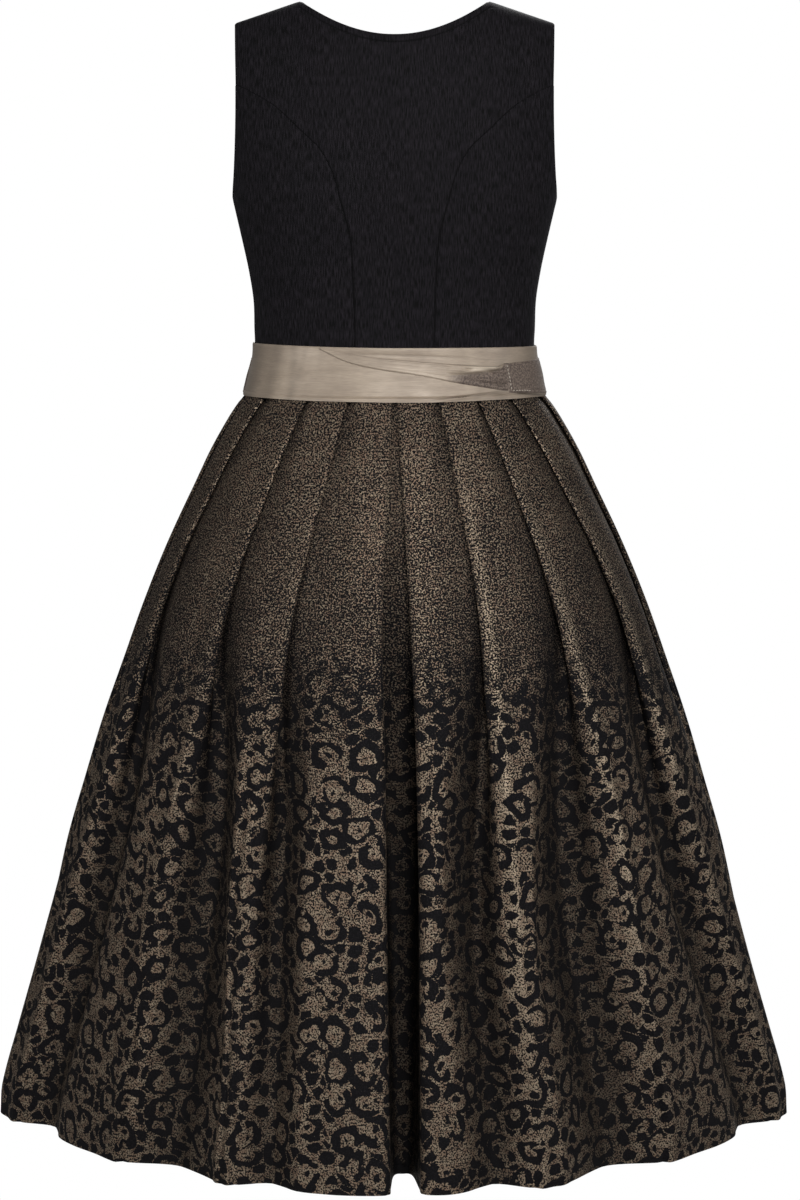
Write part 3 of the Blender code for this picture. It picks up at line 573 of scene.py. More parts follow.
def apply_modifier(piece, kind, **values):
    bpy.context.view_layer.objects.active = piece
    modifier = piece.modifiers.new(kind.title(), kind)
    for name, value in values.items():
        setattr(modifier, name, value)
    bpy.ops.object.modifier_apply(modifier=modifier.name)


def join_doubles():
    bpy.ops.object.mode_set(mode="EDIT")
    bpy.ops.mesh.select_all(action="SELECT")
    bpy.ops.mesh.remove_doubles(threshold=0.00001)
    bpy.ops.object.mode_set(mode="OBJECT")


def cloth_sheet(name, points, cloth, thickness, materials, offset=-1.0, closed=False, marks=None):
    """A sheet of cloth from a grid of points, whose rows run up and whose columns run with the angle.

    cloth gives each point's place on the flat cloth, in metres, and becomes the UV map. marks are named
    grids of numbers that the materials read. A second material is for the inner face. The points are
    the outer face, or the middle where offset is 0. A closed sheet's last column meets its first."""
    rows, columns = points.shape[:2]
    deselect()
    bpy.ops.mesh.primitive_grid_add(x_subdivisions=columns - 1, y_subdivisions=rows - 1, size=2)
    sheet = bpy.context.object
    sheet.name = name
    sheet.data.name = name
    mesh = sheet.data
    flat = np.empty(len(mesh.vertices) * 3)
    mesh.vertices.foreach_get("co", flat)
    flat = flat.reshape(-1, 3)
    column = np.rint((flat[:, 0] + 1) / 2 * (columns - 1)).astype(int)
    row = np.rint((flat[:, 1] + 1) / 2 * (rows - 1)).astype(int)
    mesh.vertices.foreach_set("co", points[row, column].ravel())
    corner = np.empty(len(mesh.loops), int)
    mesh.loops.foreach_get("vertex_index", corner)
    mesh.uv_layers[0].name = "cloth"
    mesh.uv_layers[0].data.foreach_set("uv", cloth[row[corner], column[corner]].ravel())
    for mark, grid in (marks or {}).items():
        mesh.attributes.new(mark, "FLOAT", "POINT").data.foreach_set("value", grid[row, column].ravel())
    mesh.update()
    for material in materials:
        mesh.materials.append(material)
    if closed:
        join_doubles()
    inner = 1 if len(materials) > 1 else 0
    apply_modifier(sheet, "SOLIDIFY", thickness=thickness, offset=offset, material_offset=inner)
    bpy.ops.object.shade_smooth_by_angle(angle=math.radians(45))
    return sheet


def settle(piece, node):
    """The piece stands in for a node, whose part it hides, and moves with the dress."""
    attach(piece, "root")
    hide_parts(node)


# Nodes of a material or of a shader group, each added to a tree

def fill(tree, node, values):
    """Fills a node's inputs with values or with other nodes' outputs."""
    for name, value in values.items():
        socket = node.inputs[name]
        if isinstance(value, bpy.types.NodeSocket):
            tree.links.new(value, socket)
        elif socket.type == "RGBA":
            socket.default_value = (*value, 1)
        else:
            socket.default_value = value


def put(tree, kind, values=None, **settings):
    """Adds a node, sets its properties and fills its inputs."""
    node = tree.nodes.new(kind)
    for name, value in settings.items():
        setattr(node, name, value)
    fill(tree, node, values or {})
    return node


def calculate(tree, operation, *values):
    return put(tree, "ShaderNodeMath", dict(enumerate(values)), operation=operation).outputs[0]


def add(tree, first, *others):
    for other in others:
        first = calculate(tree, "ADD", first, other)
    return first


def multiply(tree, first, *others):
    for other in others:
        first = calculate(tree, "MULTIPLY", first, other)
    return first


def subtract(tree, first, second):
    return calculate(tree, "SUBTRACT", first, second)


def scaled(tree, value, factor, shift):
    return calculate(tree, "MULTIPLY_ADD", value, factor, shift)


def between(tree, chance, spread):
    """A size from a spread, where chance runs from 0 to 1."""
    return scaled(tree, chance, spread.more, spread.least)


def vector_math(tree, operation, *values):
    node = put(tree, "ShaderNodeVectorMath", dict(enumerate(values)), operation=operation)
    return node.outputs["Value" if operation == "LENGTH" else "Vector"]


def ramp(tree, value, low, high, start=0.0, end=1.0):
    """A soft step: start where value is low, end where it is high."""
    node = put(tree, "ShaderNodeMapRange",
               {"Value": value, "From Min": low, "From Max": high, "To Min": start, "To Max": end},
               interpolation_type="SMOOTHSTEP")
    return node.outputs["Result"]


def blend_colours(tree, share, first, second, kind="MIX"):
    node = put(tree, "ShaderNodeMix", data_type="RGBA", blend_type=kind, clamp_factor=True)
    fill(tree, node, {0: share, 6: first, 7: second})
    return node.outputs[2]


def noise(tree, where, scale, detail=2.0, roughness=0.5, stretch=None, output="Fac"):
    if stretch:
        where = put(tree, "ShaderNodeMapping", {"Vector": where, "Scale": stretch}).outputs[0]
    node = put(tree, "ShaderNodeTexNoise",
               {"Vector": where, "Scale": scale, "Detail": detail, "Roughness": roughness},
               noise_dimensions="3D")
    return node.outputs[output]


def cells(tree, where, size, scatter, feature="F1"):
    """Scattered points, about size apart, and how far each place is from its nearest or next one."""
    return put(tree, "ShaderNodeTexVoronoi", {"Vector": where, "Scale": 1 / size, "Randomness": scatter},
               voronoi_dimensions="2D", feature=feature).outputs


def cloth_coordinates(tree):
    return put(tree, "ShaderNodeUVMap", uv_map="cloth").outputs["UV"]


def mark_of(tree, name):
    return put(tree, "ShaderNodeAttribute", attribute_name=name).outputs["Fac"]


def use_group(tree, group, **values):
    node = put(tree, "ShaderNodeGroup", node_tree=group)
    fill(tree, node, values)
    return node.outputs


def raise_threads(tree, shader, height, strength, distance):
    bump = put(tree, "ShaderNodeBump", {"Height": height, "Strength": strength, "Distance": distance})
    fill(tree, shader, {"Normal": bump.outputs["Normal"]})


# Shader groups

def new_group(name, inputs, outputs):
    """A shader group. inputs are (name, kind, value) and outputs are (name, kind)."""
    group = bpy.data.node_groups.new(name, "ShaderNodeTree")
    for label, kind, value in inputs:
        socket = group.interface.new_socket(label, in_out="INPUT", socket_type=kind)
        if value is not None:
            socket.default_value = value
    for label, kind in outputs:
        group.interface.new_socket(label, in_out="OUTPUT", socket_type=kind)
    return group


def wander(tree, where, scale, reach):
    """Cloth coordinates, moved about a little so that what is drawn on them gets uneven outlines."""
    colour = noise(tree, where, scale, detail=1.0, output="Color")
    shift = vector_math(tree, "SUBTRACT", colour, (0.5, 0.5, 0.5))
    moved = put(tree, "ShaderNodeVectorMath", {0: shift, "Scale": reach}, operation="SCALE").outputs["Vector"]
    return vector_math(tree, "MULTIPLY", vector_math(tree, "ADD", where, moved), (1, 1, 0))


# The rosette nearest to a place: three chances that differ from one rosette to the next, the place as
# seen from its middle, turned its way and then squeezed to its oval, how far out that is, and its size
Rosette = namedtuple("Rosette", "chances turned oval radius size")


def rosette_at(tree, where):
    cell = cells(tree, where, ROSETTE, ROSETTE_SCATTER)
    chances = put(tree, "ShaderNodeSeparateColor", {"Color": cell["Color"]}).outputs
    away = vector_math(tree, "SUBTRACT", where, cell["Position"])
    turn = multiply(tree, chances[0], 2 * math.pi)
    turned = put(tree, "ShaderNodeVectorRotate", {"Vector": away, "Angle": turn},
                 rotation_type="Z_AXIS").outputs[0]
    oval = vector_math(tree, "MULTIPLY", turned, (1.0, ROSETTE_OVAL, 1.0))
    size = between(tree, chances[1], ROSETTE_SIZE)
    return Rosette(chances, turned, oval, vector_math(tree, "LENGTH", oval), size)


def broken_ring(tree, where, rosette, from_rim, thick):
    """A rosette's ring, with a mouth on one side and small breaks."""
    ring = ramp(tree, subtract(tree, thick, from_rim), -0.0003, 0.0003)
    split = put(tree, "ShaderNodeSeparateXYZ", {"Vector": rosette.turned}).outputs
    heading = calculate(tree, "ABSOLUTE", calculate(tree, "ARCTAN2", split[1], split[0]))
    mouth = between(tree, rosette.chances[2], RING_MOUTH)
    open_side = ramp(tree, subtract(tree, heading, mouth), -0.06, 0.06)
    breaks = ramp(tree, noise(tree, where, 80.0, detail=0.0), 0.66, 0.64)
    return multiply(tree, ring, open_side, breaks)


def rosette_dot(tree, rosette):
    aside = vector_math(tree, "ADD", rosette.oval, DOT_ASIDE)
    size = between(tree, rosette.chances[2], DOT_SIZE)
    return ramp(tree, subtract(tree, size, vector_math(tree, "LENGTH", aside)), -0.0002, 0.0002)


def small_spots(tree, where, from_rim, thick):
    """Rounded spots between the rosettes. None starts inside a rosette, or touches its ring."""
    near = cells(tree, where, SMALL_SPOT, SPOT_SCATTER)
    next_one = cells(tree, where, SMALL_SPOT, SPOT_SCATTER, "F2")
    rosette = rosette_at(tree, near["Position"])
    clear = subtract(tree, rosette.radius, rosette.size)
    allowed = ramp(tree, clear, ROSETTE_CLEAR, ROSETTE_CLEAR + 0.0002)
    border = subtract(tree, subtract(tree, next_one["Distance"], near["Distance"]), SPOT_GAP)
    round_off = subtract(tree, SPOT_REACH, near["Distance"])
    spot = ramp(tree, calculate(tree, "MINIMUM", border, round_off), -0.02, 0.03)
    outside = ramp(tree, subtract(tree, from_rim, thick), 0.0006, 0.0014)
    return multiply(tree, spot, allowed, outside)


def leopard_group():
    """Rosettes with broken rings and a dot, and the small spots between them, on cloth coordinates."""
    group = new_group("Leopard", [("Cloth", "NodeSocketVector", None)],
                      [("Spots", "NodeSocketFloat"), ("Hearts", "NodeSocketFloat")])
    where = put(group, "NodeGroupInput").outputs["Cloth"]
    for uneven in PRINT_WANDERS:
        where = wander(group, where, uneven.scale, uneven.reach)
    rosette = rosette_at(group, where)
    thick = between(group, noise(group, where, 110.0, detail=0.0), RING_THICK)
    from_rim = calculate(group, "ABSOLUTE", subtract(group, rosette.radius, rosette.size))
    ring = broken_ring(group, where, rosette, from_rim, thick)
    dot = rosette_dot(group, rosette)
    small = small_spots(group, where, from_rim, thick)
    spots = calculate(group, "MAXIMUM", calculate(group, "MAXIMUM", ring, dot), small)
    hearts = ramp(group, subtract(group, rosette.size, rosette.radius), 0.0004, 0.0012)
    put(group, "NodeGroupOutput", {"Spots": spots, "Hearts": hearts})
    return group


def thread_group():
    """Short crossing threads: a speckle of bright and dark, and its relief."""
    group = new_group("Crossing threads",
                      [("Cloth", "NodeSocketVector", None), ("Size", "NodeSocketFloat", 0.002)],
                      [("Speckle", "NodeSocketFloat"), ("Relief", "NodeSocketFloat")])
    given = put(group, "NodeGroupInput").outputs
    scale = calculate(group, "DIVIDE", 1.0, given["Size"])
    first = noise(group, given["Cloth"], scale, detail=1.5, roughness=0.6)
    second = noise(group, given["Cloth"], multiply(group, scale, 2.1), detail=1.0, stretch=(1.0, 0.55, 1.0))
    both = add(group, multiply(group, first, 0.62), multiply(group, second, 0.38))
    put(group, "NodeGroupOutput", {"Speckle": both, "Relief": both})
    return group


def slub_group():
    """Long thin threads that run one way, thick and thin by turns."""
    group = new_group("Slub threads",
                      [("Cloth", "NodeSocketVector", None), ("Fineness", "NodeSocketFloat", 900.0)],
                      [("Threads", "NodeSocketFloat"), ("Clouds", "NodeSocketFloat")])
    given = put(group, "NodeGroupInput").outputs
    threads = noise(group, given["Cloth"], given["Fineness"], detail=2.0, roughness=0.6,
                    stretch=(1.0, 0.09, 1.0))
    clouds = noise(group, given["Cloth"], multiply(group, given["Fineness"], 0.06), detail=3.0,
                   roughness=0.6, stretch=(1.0, 0.30, 1.0))
    put(group, "NodeGroupOutput", {"Threads": threads, "Clouds": clouds})
    return group


# Materials

def new_material(name, **values):
    """A material and its shader. A value's name is the shader's input, in small letters."""
    material = bpy.data.materials.new(name)
    material.use_nodes = True
    tree = material.node_tree
    shader = tree.nodes["Principled BSDF"]
    labels = {label: label.replace("_", " ").title().replace("Ior", "IOR") for label in values}
    fill(tree, shader, {labels[label]: value for label, value in values.items()})
    return material, tree, shader


def bodice_material(slubs):
    material, tree, shader = new_material(
        "Dark slub cotton", roughness=0.85, specular_ior_level=0.16, sheen_weight=0.02, sheen_roughness=0.4,
        sheen_tint=COTTON_SHEEN)
    threads = use_group(tree, slubs, Cloth=cloth_coordinates(tree), Fineness=1150.0)
    colour = blend_colours(tree, ramp(tree, threads["Threads"], 0.36, 0.68), SLUB_DARK, SLUB_PALE)
    clouds = blend_colours(tree, ramp(tree, threads["Clouds"], 0.3, 0.7), CLOUD_DARK, CLOUD_PALE)
    colour = blend_colours(tree, 1.0, colour, clouds, "MULTIPLY")
    # painted shade in the grooves of the seams and of the neck's topstitching
    colour = blend_colours(tree, mark_of(tree, "groove"), colour, PAINTED_GROOVE_SHADE)
    fill(tree, shader, {"Base Color": colour})
    raise_threads(tree, shader, threads["Threads"], strength=0.35, distance=0.0003)
    return material


def print_fade(tree, where, down):
    """How much of the print shows: none at the top and all of it below, in uneven patches between."""
    patches = scaled(tree, noise(tree, where, 15.0, detail=4.0, roughness=0.65), 0.5, -0.25)
    return ramp(tree, add(tree, ramp(tree, down, FADE_TOP, FADE_FULL), patches), 0.03, 0.97)


def bronze_threshold(tree, where, down, motif, crest):
    """The weave is bronze where its speckle is over this: less than half of it above, more of the
    ground below, none of it in the spots, and more of it on the crests, as a painted highlight."""
    fade = print_fade(tree, where, down)
    plain = ramp(tree, down, 0.06, 0.24, PLAIN_TOP, PLAIN_MIDDLE)
    plain = add(tree, plain, ramp(tree, down, 0.25, 0.40, 0, -GROUND_LESS))
    hearts = multiply(tree, motif["Hearts"], fade, HEART_LESS)
    spots = multiply(tree, motif["Spots"], calculate(tree, "POWER", fade, FADE_POWER), SPOT_MORE)
    clouds = scaled(tree, noise(tree, where, 26.0, detail=4.0, roughness=0.65), -0.09, 0.045)
    level = add(tree, subtract(tree, plain, hearts), spots, clouds)
    return subtract(tree, level, multiply(tree, crest, CREST_LESS))


def bronze_colour(tree, where, crest):
    tint = ramp(tree, noise(tree, where, 160.0), 0.35, 0.65)
    metal = blend_colours(tree, tint, BRONZE_DARK, BRONZE_PALE)
    # the crests are blended towards a painted highlight
    return blend_colours(tree, multiply(tree, crest, 0.65), metal, CREST_HIGHLIGHT)


def furrow_shade(tree, deep, down):
    """How much painted shade darkens the cloth, by its depth in a furrow and by how far down the skirt it is.
    """
    shade = multiply(tree, ramp(tree, deep, 0.05, 1.0, 0, 0.68), ramp(tree, down, 0.12, 0.44, 0.72, 1.0))
    return add(tree, shade, ramp(tree, deep, 1.0, PLAIN_MARK, 0, 0.32))


def brocade_material(leopard, threads):
    material, tree, shader = new_material("Bronze and black brocade", specular_ior_level=0.14)
    where = cloth_coordinates(tree)
    down = put(tree, "ShaderNodeSeparateXYZ", {"Vector": where}).outputs[1]
    motif = use_group(tree, leopard, Cloth=where)
    weave = use_group(tree, threads, Cloth=where, Size=0.0017)
    deep = mark_of(tree, "fold_depth")
    # painted highlight on the crests, where fold_depth is under 0
    crest = ramp(tree, deep, 0.0, -1.0)
    threshold = bronze_threshold(tree, where, down, motif, crest)
    bronze = ramp(tree, subtract(tree, weave["Speckle"], threshold), -0.022, 0.026)
    black = blend_colours(tree, ramp(tree, weave["Speckle"], 0.46, 0.64), BLACK_DARK, BLACK_PALE)
    colour = blend_colours(tree, bronze, black, bronze_colour(tree, where, crest))
    # painted shade in the furrows and in the inverted pleats' recesses
    colour = blend_colours(tree, furrow_shade(tree, deep, down), colour, FURROW_SHADE_COLOUR)
    fill(tree, shader, {
        "Base Color": colour,
        "Metallic": ramp(tree, bronze, 0, 1, 0.0, 0.80),
        "Roughness": ramp(tree, bronze, 0, 1, 0.80, 0.53)})
    relief = add(tree, multiply(tree, bronze, 0.6), multiply(tree, weave["Relief"], 0.4))
    raise_threads(tree, shader, relief, strength=0.55, distance=0.0005)
    return material


def wrong_side_material(threads):
    material, tree, shader = new_material("Brocade, wrong side", roughness=0.85)
    weave = use_group(tree, threads, Cloth=cloth_coordinates(tree), Size=0.0018)
    colour = blend_colours(tree, ramp(tree, weave["Speckle"], 0.52, 0.66), INSIDE_DARK, INSIDE_PALE)
    fill(tree, shader, {"Base Color": colour})
    raise_threads(tree, shader, weave["Relief"], strength=0.3, distance=0.0003)
    return material


def watered_streaks(tree, where):
    """Slow waves, longer streaks and fine lines along the satin, in one number."""
    water = noise(tree, where, 150.0, detail=4.0, roughness=0.62, stretch=(0.14, 1.0, 1.0))
    waves = noise(tree, where, 36.0, detail=3.0, roughness=0.55, stretch=(1.0, 0.45, 1.0))
    lines = noise(tree, where, 1100.0, detail=2.0, roughness=0.6, stretch=(0.045, 1.0, 1.0))
    return add(tree, multiply(tree, water, 0.40), multiply(tree, waves, 0.35), multiply(tree, lines, 0.25))


def satin_material(name, pale, shade, slubs, rough=0.50):
    """Watered satin: fine threads round the waist, with soft pale and dark streaks along them.

    Where a sheet is marked as turned, the satin's dull wrong side shows."""
    material, tree, shader = new_material(name, metallic=0.10, sheen_weight=0.08, sheen_roughness=0.4)
    where = cloth_coordinates(tree)
    turn = {"Vector": where, "Rotation": (0, 0, math.pi / 2)}
    round_waist = put(tree, "ShaderNodeMapping", turn).outputs[0]
    threads = use_group(tree, slubs, Cloth=round_waist, Fineness=1500.0)
    streaks = watered_streaks(tree, where)
    colour = blend_colours(tree, ramp(tree, streaks, 0.36, 0.64), shade, pale)
    fine = blend_colours(tree, ramp(tree, threads["Threads"], 0.3, 0.7), FINE_DARK, FINE_PALE)
    colour = blend_colours(tree, 1.0, colour, fine, "MULTIPLY")
    # the mark darkens the satin with its watering and with painted shade, and where it is under 0 gives a
    # painted highlight
    watering_and_painted_light = mark_of(tree, "watering_and_painted_light")
    colour = blend_colours(tree, watering_and_painted_light, colour, tuple(0.35 * part for part in shade))
    colour = blend_colours(tree, ramp(tree, watering_and_painted_light, 0, -1), colour, SATIN_GLEAM)
    dull = ramp(tree, noise(tree, where, 520.0, roughness=0.65), 0.40, 0.62)
    turned = mark_of(tree, "turned")
    colour = blend_colours(tree, turned, colour, blend_colours(tree, dull, SATIN_BACK_DARK, SATIN_BACK_PALE))
    smooth = ramp(tree, streaks, 0.35, 0.65, rough + 0.08, rough - 0.06)
    roughness = calculate(tree, "MAXIMUM", smooth, multiply(tree, turned, 0.72))
    fill(tree, shader, {"Base Color": colour, "Roughness": roughness})
    raise_threads(tree, shader, threads["Threads"], strength=0.22, distance=0.0002)
    return material


def thread_material(name, colour, slubs, sheen=0.2):
    material, tree, shader = new_material(name, roughness=0.8, specular_ior_level=0.2, sheen_weight=sheen)
    where = put(tree, "ShaderNodeTexCoord").outputs["Object"]
    twist = use_group(tree, slubs, Cloth=where, Fineness=2200.0)
    dark = tuple(0.7 * part for part in colour)
    fill(tree, shader, {"Base Color": blend_colours(tree, twist["Threads"], dark, colour)})
    raise_threads(tree, shader, twist["Threads"], strength=0.4, distance=0.0001)
    return material


# Bodice

def neckline(half_width, in_front):
    """Height of the bodice's top edge: the neckline's curve, then the shoulder line."""
    drop = NECK_DROP_FRONT if in_front else NECK_DROP_BACK
    curve = SHOULDER_NECK - drop * (1 - (half_width / NECK_HALF)**2)
    return np.where(np.abs(half_width) >= NECK_HALF, ridge_height(half_width), curve)


def half_seam(marks, height):
    step = 0.002
    slant = (line_at(marks, height + step) - line_at(marks, height - step)) / (2 * step)
    return SEAM_GAP / 2 * np.hypot(1, slant)


def close_to(edges, count, fine=5, reach=0.06):
    """Shares from 0 to 1, with fine ones within reach of the ends that edges names."""
    low, high = edges
    inner = np.linspace(reach if low else 0, 1 - reach if high else 1, count)
    first = reach * (np.arange(fine) / fine)**1.4 if low else np.array([])
    last = 1 - reach * (np.arange(fine) / fine)[::-1]**1.4 if high else np.array([])
    return np.concatenate([first, inner, last])


def bodice_folds(points, in_front):
    """Slack and soft drag lines of the worn bodice, as heights over its face."""
    x, height = points[..., 0], points[..., 2]
    slack = FRONT_SLACK if in_front else 1
    soft = ripple(x, height, BODICE_RIPPLES)
    for line in DRAG_LINES:
        soft = soft + crease(line.side * x, height, line.start, line.end, line.width, line.height * slack)
    return soft


def centre_rows(fan, join):
    """Heights of a centre panel's rows, as they are at its side."""
    low = np.linspace(WAIST_SEAM + SEAM_GAP / 2, fan, CENTRE_LOW_ROWS)
    high = fan + (SHOULDER_TIP - fan) * run_of(CENTRE_TOP_ROWS)[1:]
    return np.sort(np.concatenate([low, high, [join - JOIN_SPLIT, join + JOIN_SPLIT]]))


def centre_columns(in_front):
    """Places across a centre panel from -1 to 1, in the order in which the angle grows."""
    neck = NECK_HALF / TIP_HALF
    shoulder = neck + (1 - neck) * close_to((0, 1), 16, reach=0.12)[1:]
    half = np.concatenate([neck * np.linspace(0, 1, NECK_COLUMNS), shoulder])
    across = np.concatenate([-half[:0:-1], half])
    return -across if in_front else across


def centre_panel(name, in_front, materials):
    princess = PRINCESS_FRONT if in_front else PRINCESS_BACK
    armhole = ARMHOLE_FRONT if in_front else ARMHOLE_BACK
    fan = FAN_FRONT if in_front else FAN_BACK
    join = princess[-1].height
    rows, across = centre_rows(fan, join), centre_columns(in_front)
    sewn_edge = line_at(princess, rows) - half_seam(princess, rows)
    edge = np.where(rows <= join + SAME, sewn_edge, line_at(armhole, rows))
    share_up = np.maximum(rows - fan, 0) / (SHOULDER_TIP - fan)
    top = neckline(across * TIP_HALF, in_front)
    height = np.minimum(rows, fan)[:, None] + (top - fan)[None, :] * share_up[:, None]
    half_width = edge[:, None] * across[None, :]
    points = bodice_point(half_width, height, in_front)
    on_shoulder = np.abs(points[-1, :, 0]) >= NECK_HALF * 0.99
    points[-1, on_shoulder, 1] += SEAM_GAP / 2 if in_front else -SEAM_GAP / 2
    outward = outward_of(points)
    below_neck = (top[None, :] - height) * NECK_SLANT
    in_neck = np.abs(across)[None, :] * TIP_HALF < NECK_HALF * 1.02
    to_side = edge[:, None] - np.abs(half_width)
    lift = bodice_folds(points, in_front) * clamp(below_neck / NECK_EVEN) * clamp(to_side / SIDE_EVEN)
    at_neck = roll_in(below_neck, NECK_ROLL) + swell(below_neck, NECK_GROOVE)
    lift = lift + np.where(in_neck, at_neck, 0) + roll_in(to_side, CENTRE_SIDE_ROLL)
    # painted shade along the neck's topstitching groove and in the seam's groove
    stitch_line_shade = np.where(in_neck, bell(below_neck - NECK_GROOVE.place, NECK_GROOVE.width), 0)
    seam_line_shade = np.where(height < join, bell(to_side, SEAM_SHADE), 0)
    groove = np.maximum(NECK_GROOVE_SHADE * stitch_line_shade, seam_line_shade)
    points = points + outward * lift[..., None]
    cloth = np.stack([half_width + (FRONT_CLOTH if in_front else 0), height], axis=-1)
    sheet = cloth_sheet(name + "_cloth", points, cloth, BODICE_CLOTH, materials, marks={"groove": groove})
    settle(sheet, name)
    return points, outward, below_neck, across


def side_panel(name, side, in_front, materials):
    princess = PRINCESS_FRONT if in_front else PRINCESS_BACK
    armhole = ARMHOLE_FRONT if in_front else ARMHOLE_BACK
    join = princess[-1].height
    low = np.linspace(WAIST_SEAM + SEAM_GAP / 2, UNDERARM, SIDE_LOW_ROWS)[:-1]
    rows = np.concatenate([low, UNDERARM + (join - UNDERARM) * close_to((1, 0), 34, fine=6)])
    near_width = line_at(princess, rows) - UNDERLAP * half_seam(princess, rows) / (SEAM_GAP / 2)
    widest = ring_at(rows)[0]

    def turn_of(width):
        return np.degrees(np.arcsin(np.minimum(width / widest, 1)**(SQUARENESS / 2)))

    near = turn_of(near_width)
    far = np.where(rows <= UNDERARM, 90, turn_of(line_at(armhole, rows)))
    shares = close_to((1, 1), 34, fine=6)
    angle = near[:, None] + (far - near)[:, None] * shares[None, :]
    width = widest[:, None] * np.abs(np.sin(np.radians(angle)))**(2 / SQUARENESS)
    height = np.broadcast_to(rows[:, None], width.shape)
    points = bodice_point(side * width, height, in_front)
    if (side < 0) != in_front:
        points = points[:, ::-1]
        width, height, shares = width[:, ::-1], height[:, ::-1], shares[::-1]
    outward = outward_of(points)
    from_left = run_along(points)
    from_right = from_left[:, -1:] - from_left
    to_seam, to_edge = (from_left, from_right) if shares[0] == 0 else (from_right, from_left)
    lift = bodice_folds(points, in_front) * clamp(np.minimum(to_seam, to_edge) / SIDE_EVEN)
    lift = lift - TUCK * clamp(1 - to_seam / (2 * UNDERLAP))**0.7 + roll_in(to_edge, ARMHOLE_ROLL)
    points = points + outward * lift[..., None]
    cloth = np.stack([side * (width + SIDE_CLOTH) + (FRONT_CLOTH if in_front else 0), height], axis=-1)
    # painted shade in the seam's groove
    groove = bell(to_seam, SEAM_SHADE)
    sheet = cloth_sheet(name + "_cloth", points, cloth, BODICE_CLOTH, materials, marks={"groove": groove})
    settle(sheet, name)


# Skirt

def along_fold(row, share):
    return float(read_smooth(FOLD_STATIONS, (row.waist, row.hip, row.knee, row.hem), share))


def wavering(row, share):
    """A fold's angle, with the small wander of hand-pressed cloth below the hip."""
    swing = FOLD_WANDER * max(share - WANDER_TOP, 0)**0.7
    phase = row.waist * FOLD_PHASE
    waves = sum(wave.part * math.sin(wave.waves * share + wave.phase * phase) for wave in WANDER_WAVES)
    return along_fold(row, share) + swing * waves


def pressed_layers(lap):
    """A pressed pleat, from its inmost layer out to its edge at 0: (place, depth) pairs."""
    step = LAYER_STEP
    return [(0.4 * lap, 2 * step), (lap, 2 * step), (lap + 0.5 * step, 1.5 * step), (lap, step),
            (0.4 * lap, step), (0, step), (-0.5 * step, 0.5 * step), (0, 0)]


def partly_open(pressed, furrow, opened):
    """The cloth between its pressed and its opened shape, with the edge sunk as far as it is open."""
    return [((1 - opened) * shut[0] + opened * wide[0],
             (1 - opened) * shut[1] + opened * wide[1] + EDGE_SINK * opened)
            for shut, wide in zip(pressed, furrow)]


def fold_profile(lap, valley, depth, opened, room):
    """Cloth across one fold, from its furrow's inner side to its edge at 0."""
    inner = min(1.1 * valley, 0.8 * (room - valley))
    pressed = [(-1.2 * LAYER_STEP, 2 * LAYER_STEP)] + pressed_layers(lap)
    furrow = [(-valley - inner, 0.10 * depth), (-valley - 0.5 * inner, 0.62 * depth)]
    furrow += [(point.place * valley, point.depth * depth) for point in FURROW_FLANK]
    return partly_open(pressed, furrow, opened)


def inverted_profile(opened, half_gap):
    """Half of an inverted pleat, from the middle of its floor to its edge at 0."""
    furrow = [(point.place * half_gap, point.depth * INVERTED_DEPTH) for point in RECESS_FLANK]
    return partly_open(pressed_layers(INVERTED_LAP), furrow, opened)


class Outline:
    """The dress's outline at one height, measured along its length from the centre back."""

    def __init__(self, height):
        self.angles = np.arange(-135.0, 315.5, 0.5)
        self.points = body_point(self.angles, np.full(len(self.angles), height))
        lengths = run_along(self.points)
        self.lengths = lengths - np.interp(0.0, self.angles, lengths)

    def length_at(self, angle):
        return float(np.interp(angle, self.angles, self.lengths))

    def point_at(self, lengths):
        parts = [np.interp(lengths, self.lengths, self.points[:, part]) for part in range(3)]
        return np.stack(parts, axis=-1)

    def place(self, lengths, depths):
        """Points the given depths inside the outline."""
        reach = 0.008
        along = self.point_at(lengths + reach) - self.point_at(lengths - reach)
        inward = np.stack([-along[:, 1], along[:, 0], np.zeros(len(along))], axis=-1)
        inward /= np.linalg.norm(inward, axis=1, keepdims=True)
        return self.point_at(lengths) + inward * depths[:, None]


def half_path(outline, share, folds, edge, centre, seam, side):
    """The cloth's middle line from the middle of an inverted pleat out to a side seam."""
    opened = level_at(OPENING, share)
    start = outline.length_at(centre)

    def outward(angle):
        return side * (outline.length_at(angle) - start)

    def partly(shut, wide):
        return (1 - opened) * shut + opened * wide

    edge_place = outward(along_fold(edge, share))
    path = [(0, partly(2 * LAYER_STEP, INVERTED_DEPTH + EDGE_SINK))]
    path += [(edge_place + place, depth) for place, depth in inverted_profile(opened, edge_place)]
    lap = INVERTED_LAP
    for fold in folds:
        place = outward(wavering(fold, share))
        before_place, before_depth = path[-1]
        depth = fold.depth * (1 + MID_SWELL * math.sin(math.pi * share))
        profile = fold_profile(fold.lap, fold.valley, depth, opened, place - before_place)
        room = place + profile[0][0] - before_place
        for part in (0.5, 1):
            away = part * 2 / 3
            shut = (lap + 0.9 * LAYER_STEP) * part
            crown = EDGE_SINK * 4 * away * (1 - away)
            sunk = max(before_depth + (profile[0][1] - before_depth) * away**1.5 - crown, 0)
            path.append((before_place + partly(shut, room * away), opened * sunk))
        path += [(place + along, depth) for along, depth in profile]
        path.append((place + CREST_RUN * (0.3 + 0.7 * opened), -CREST_RISE * opened))
        lap = fold.lap
    seam_place = outward(along_fold(seam, share)) - SEAM_GAP / 2
    before_place, before_depth = path[-1]
    for part in (0.33, 0.67):
        path.append((before_place + (seam_place - before_place) * part, before_depth * (1 - part)**2))
    return path + [(seam_place, 0)]


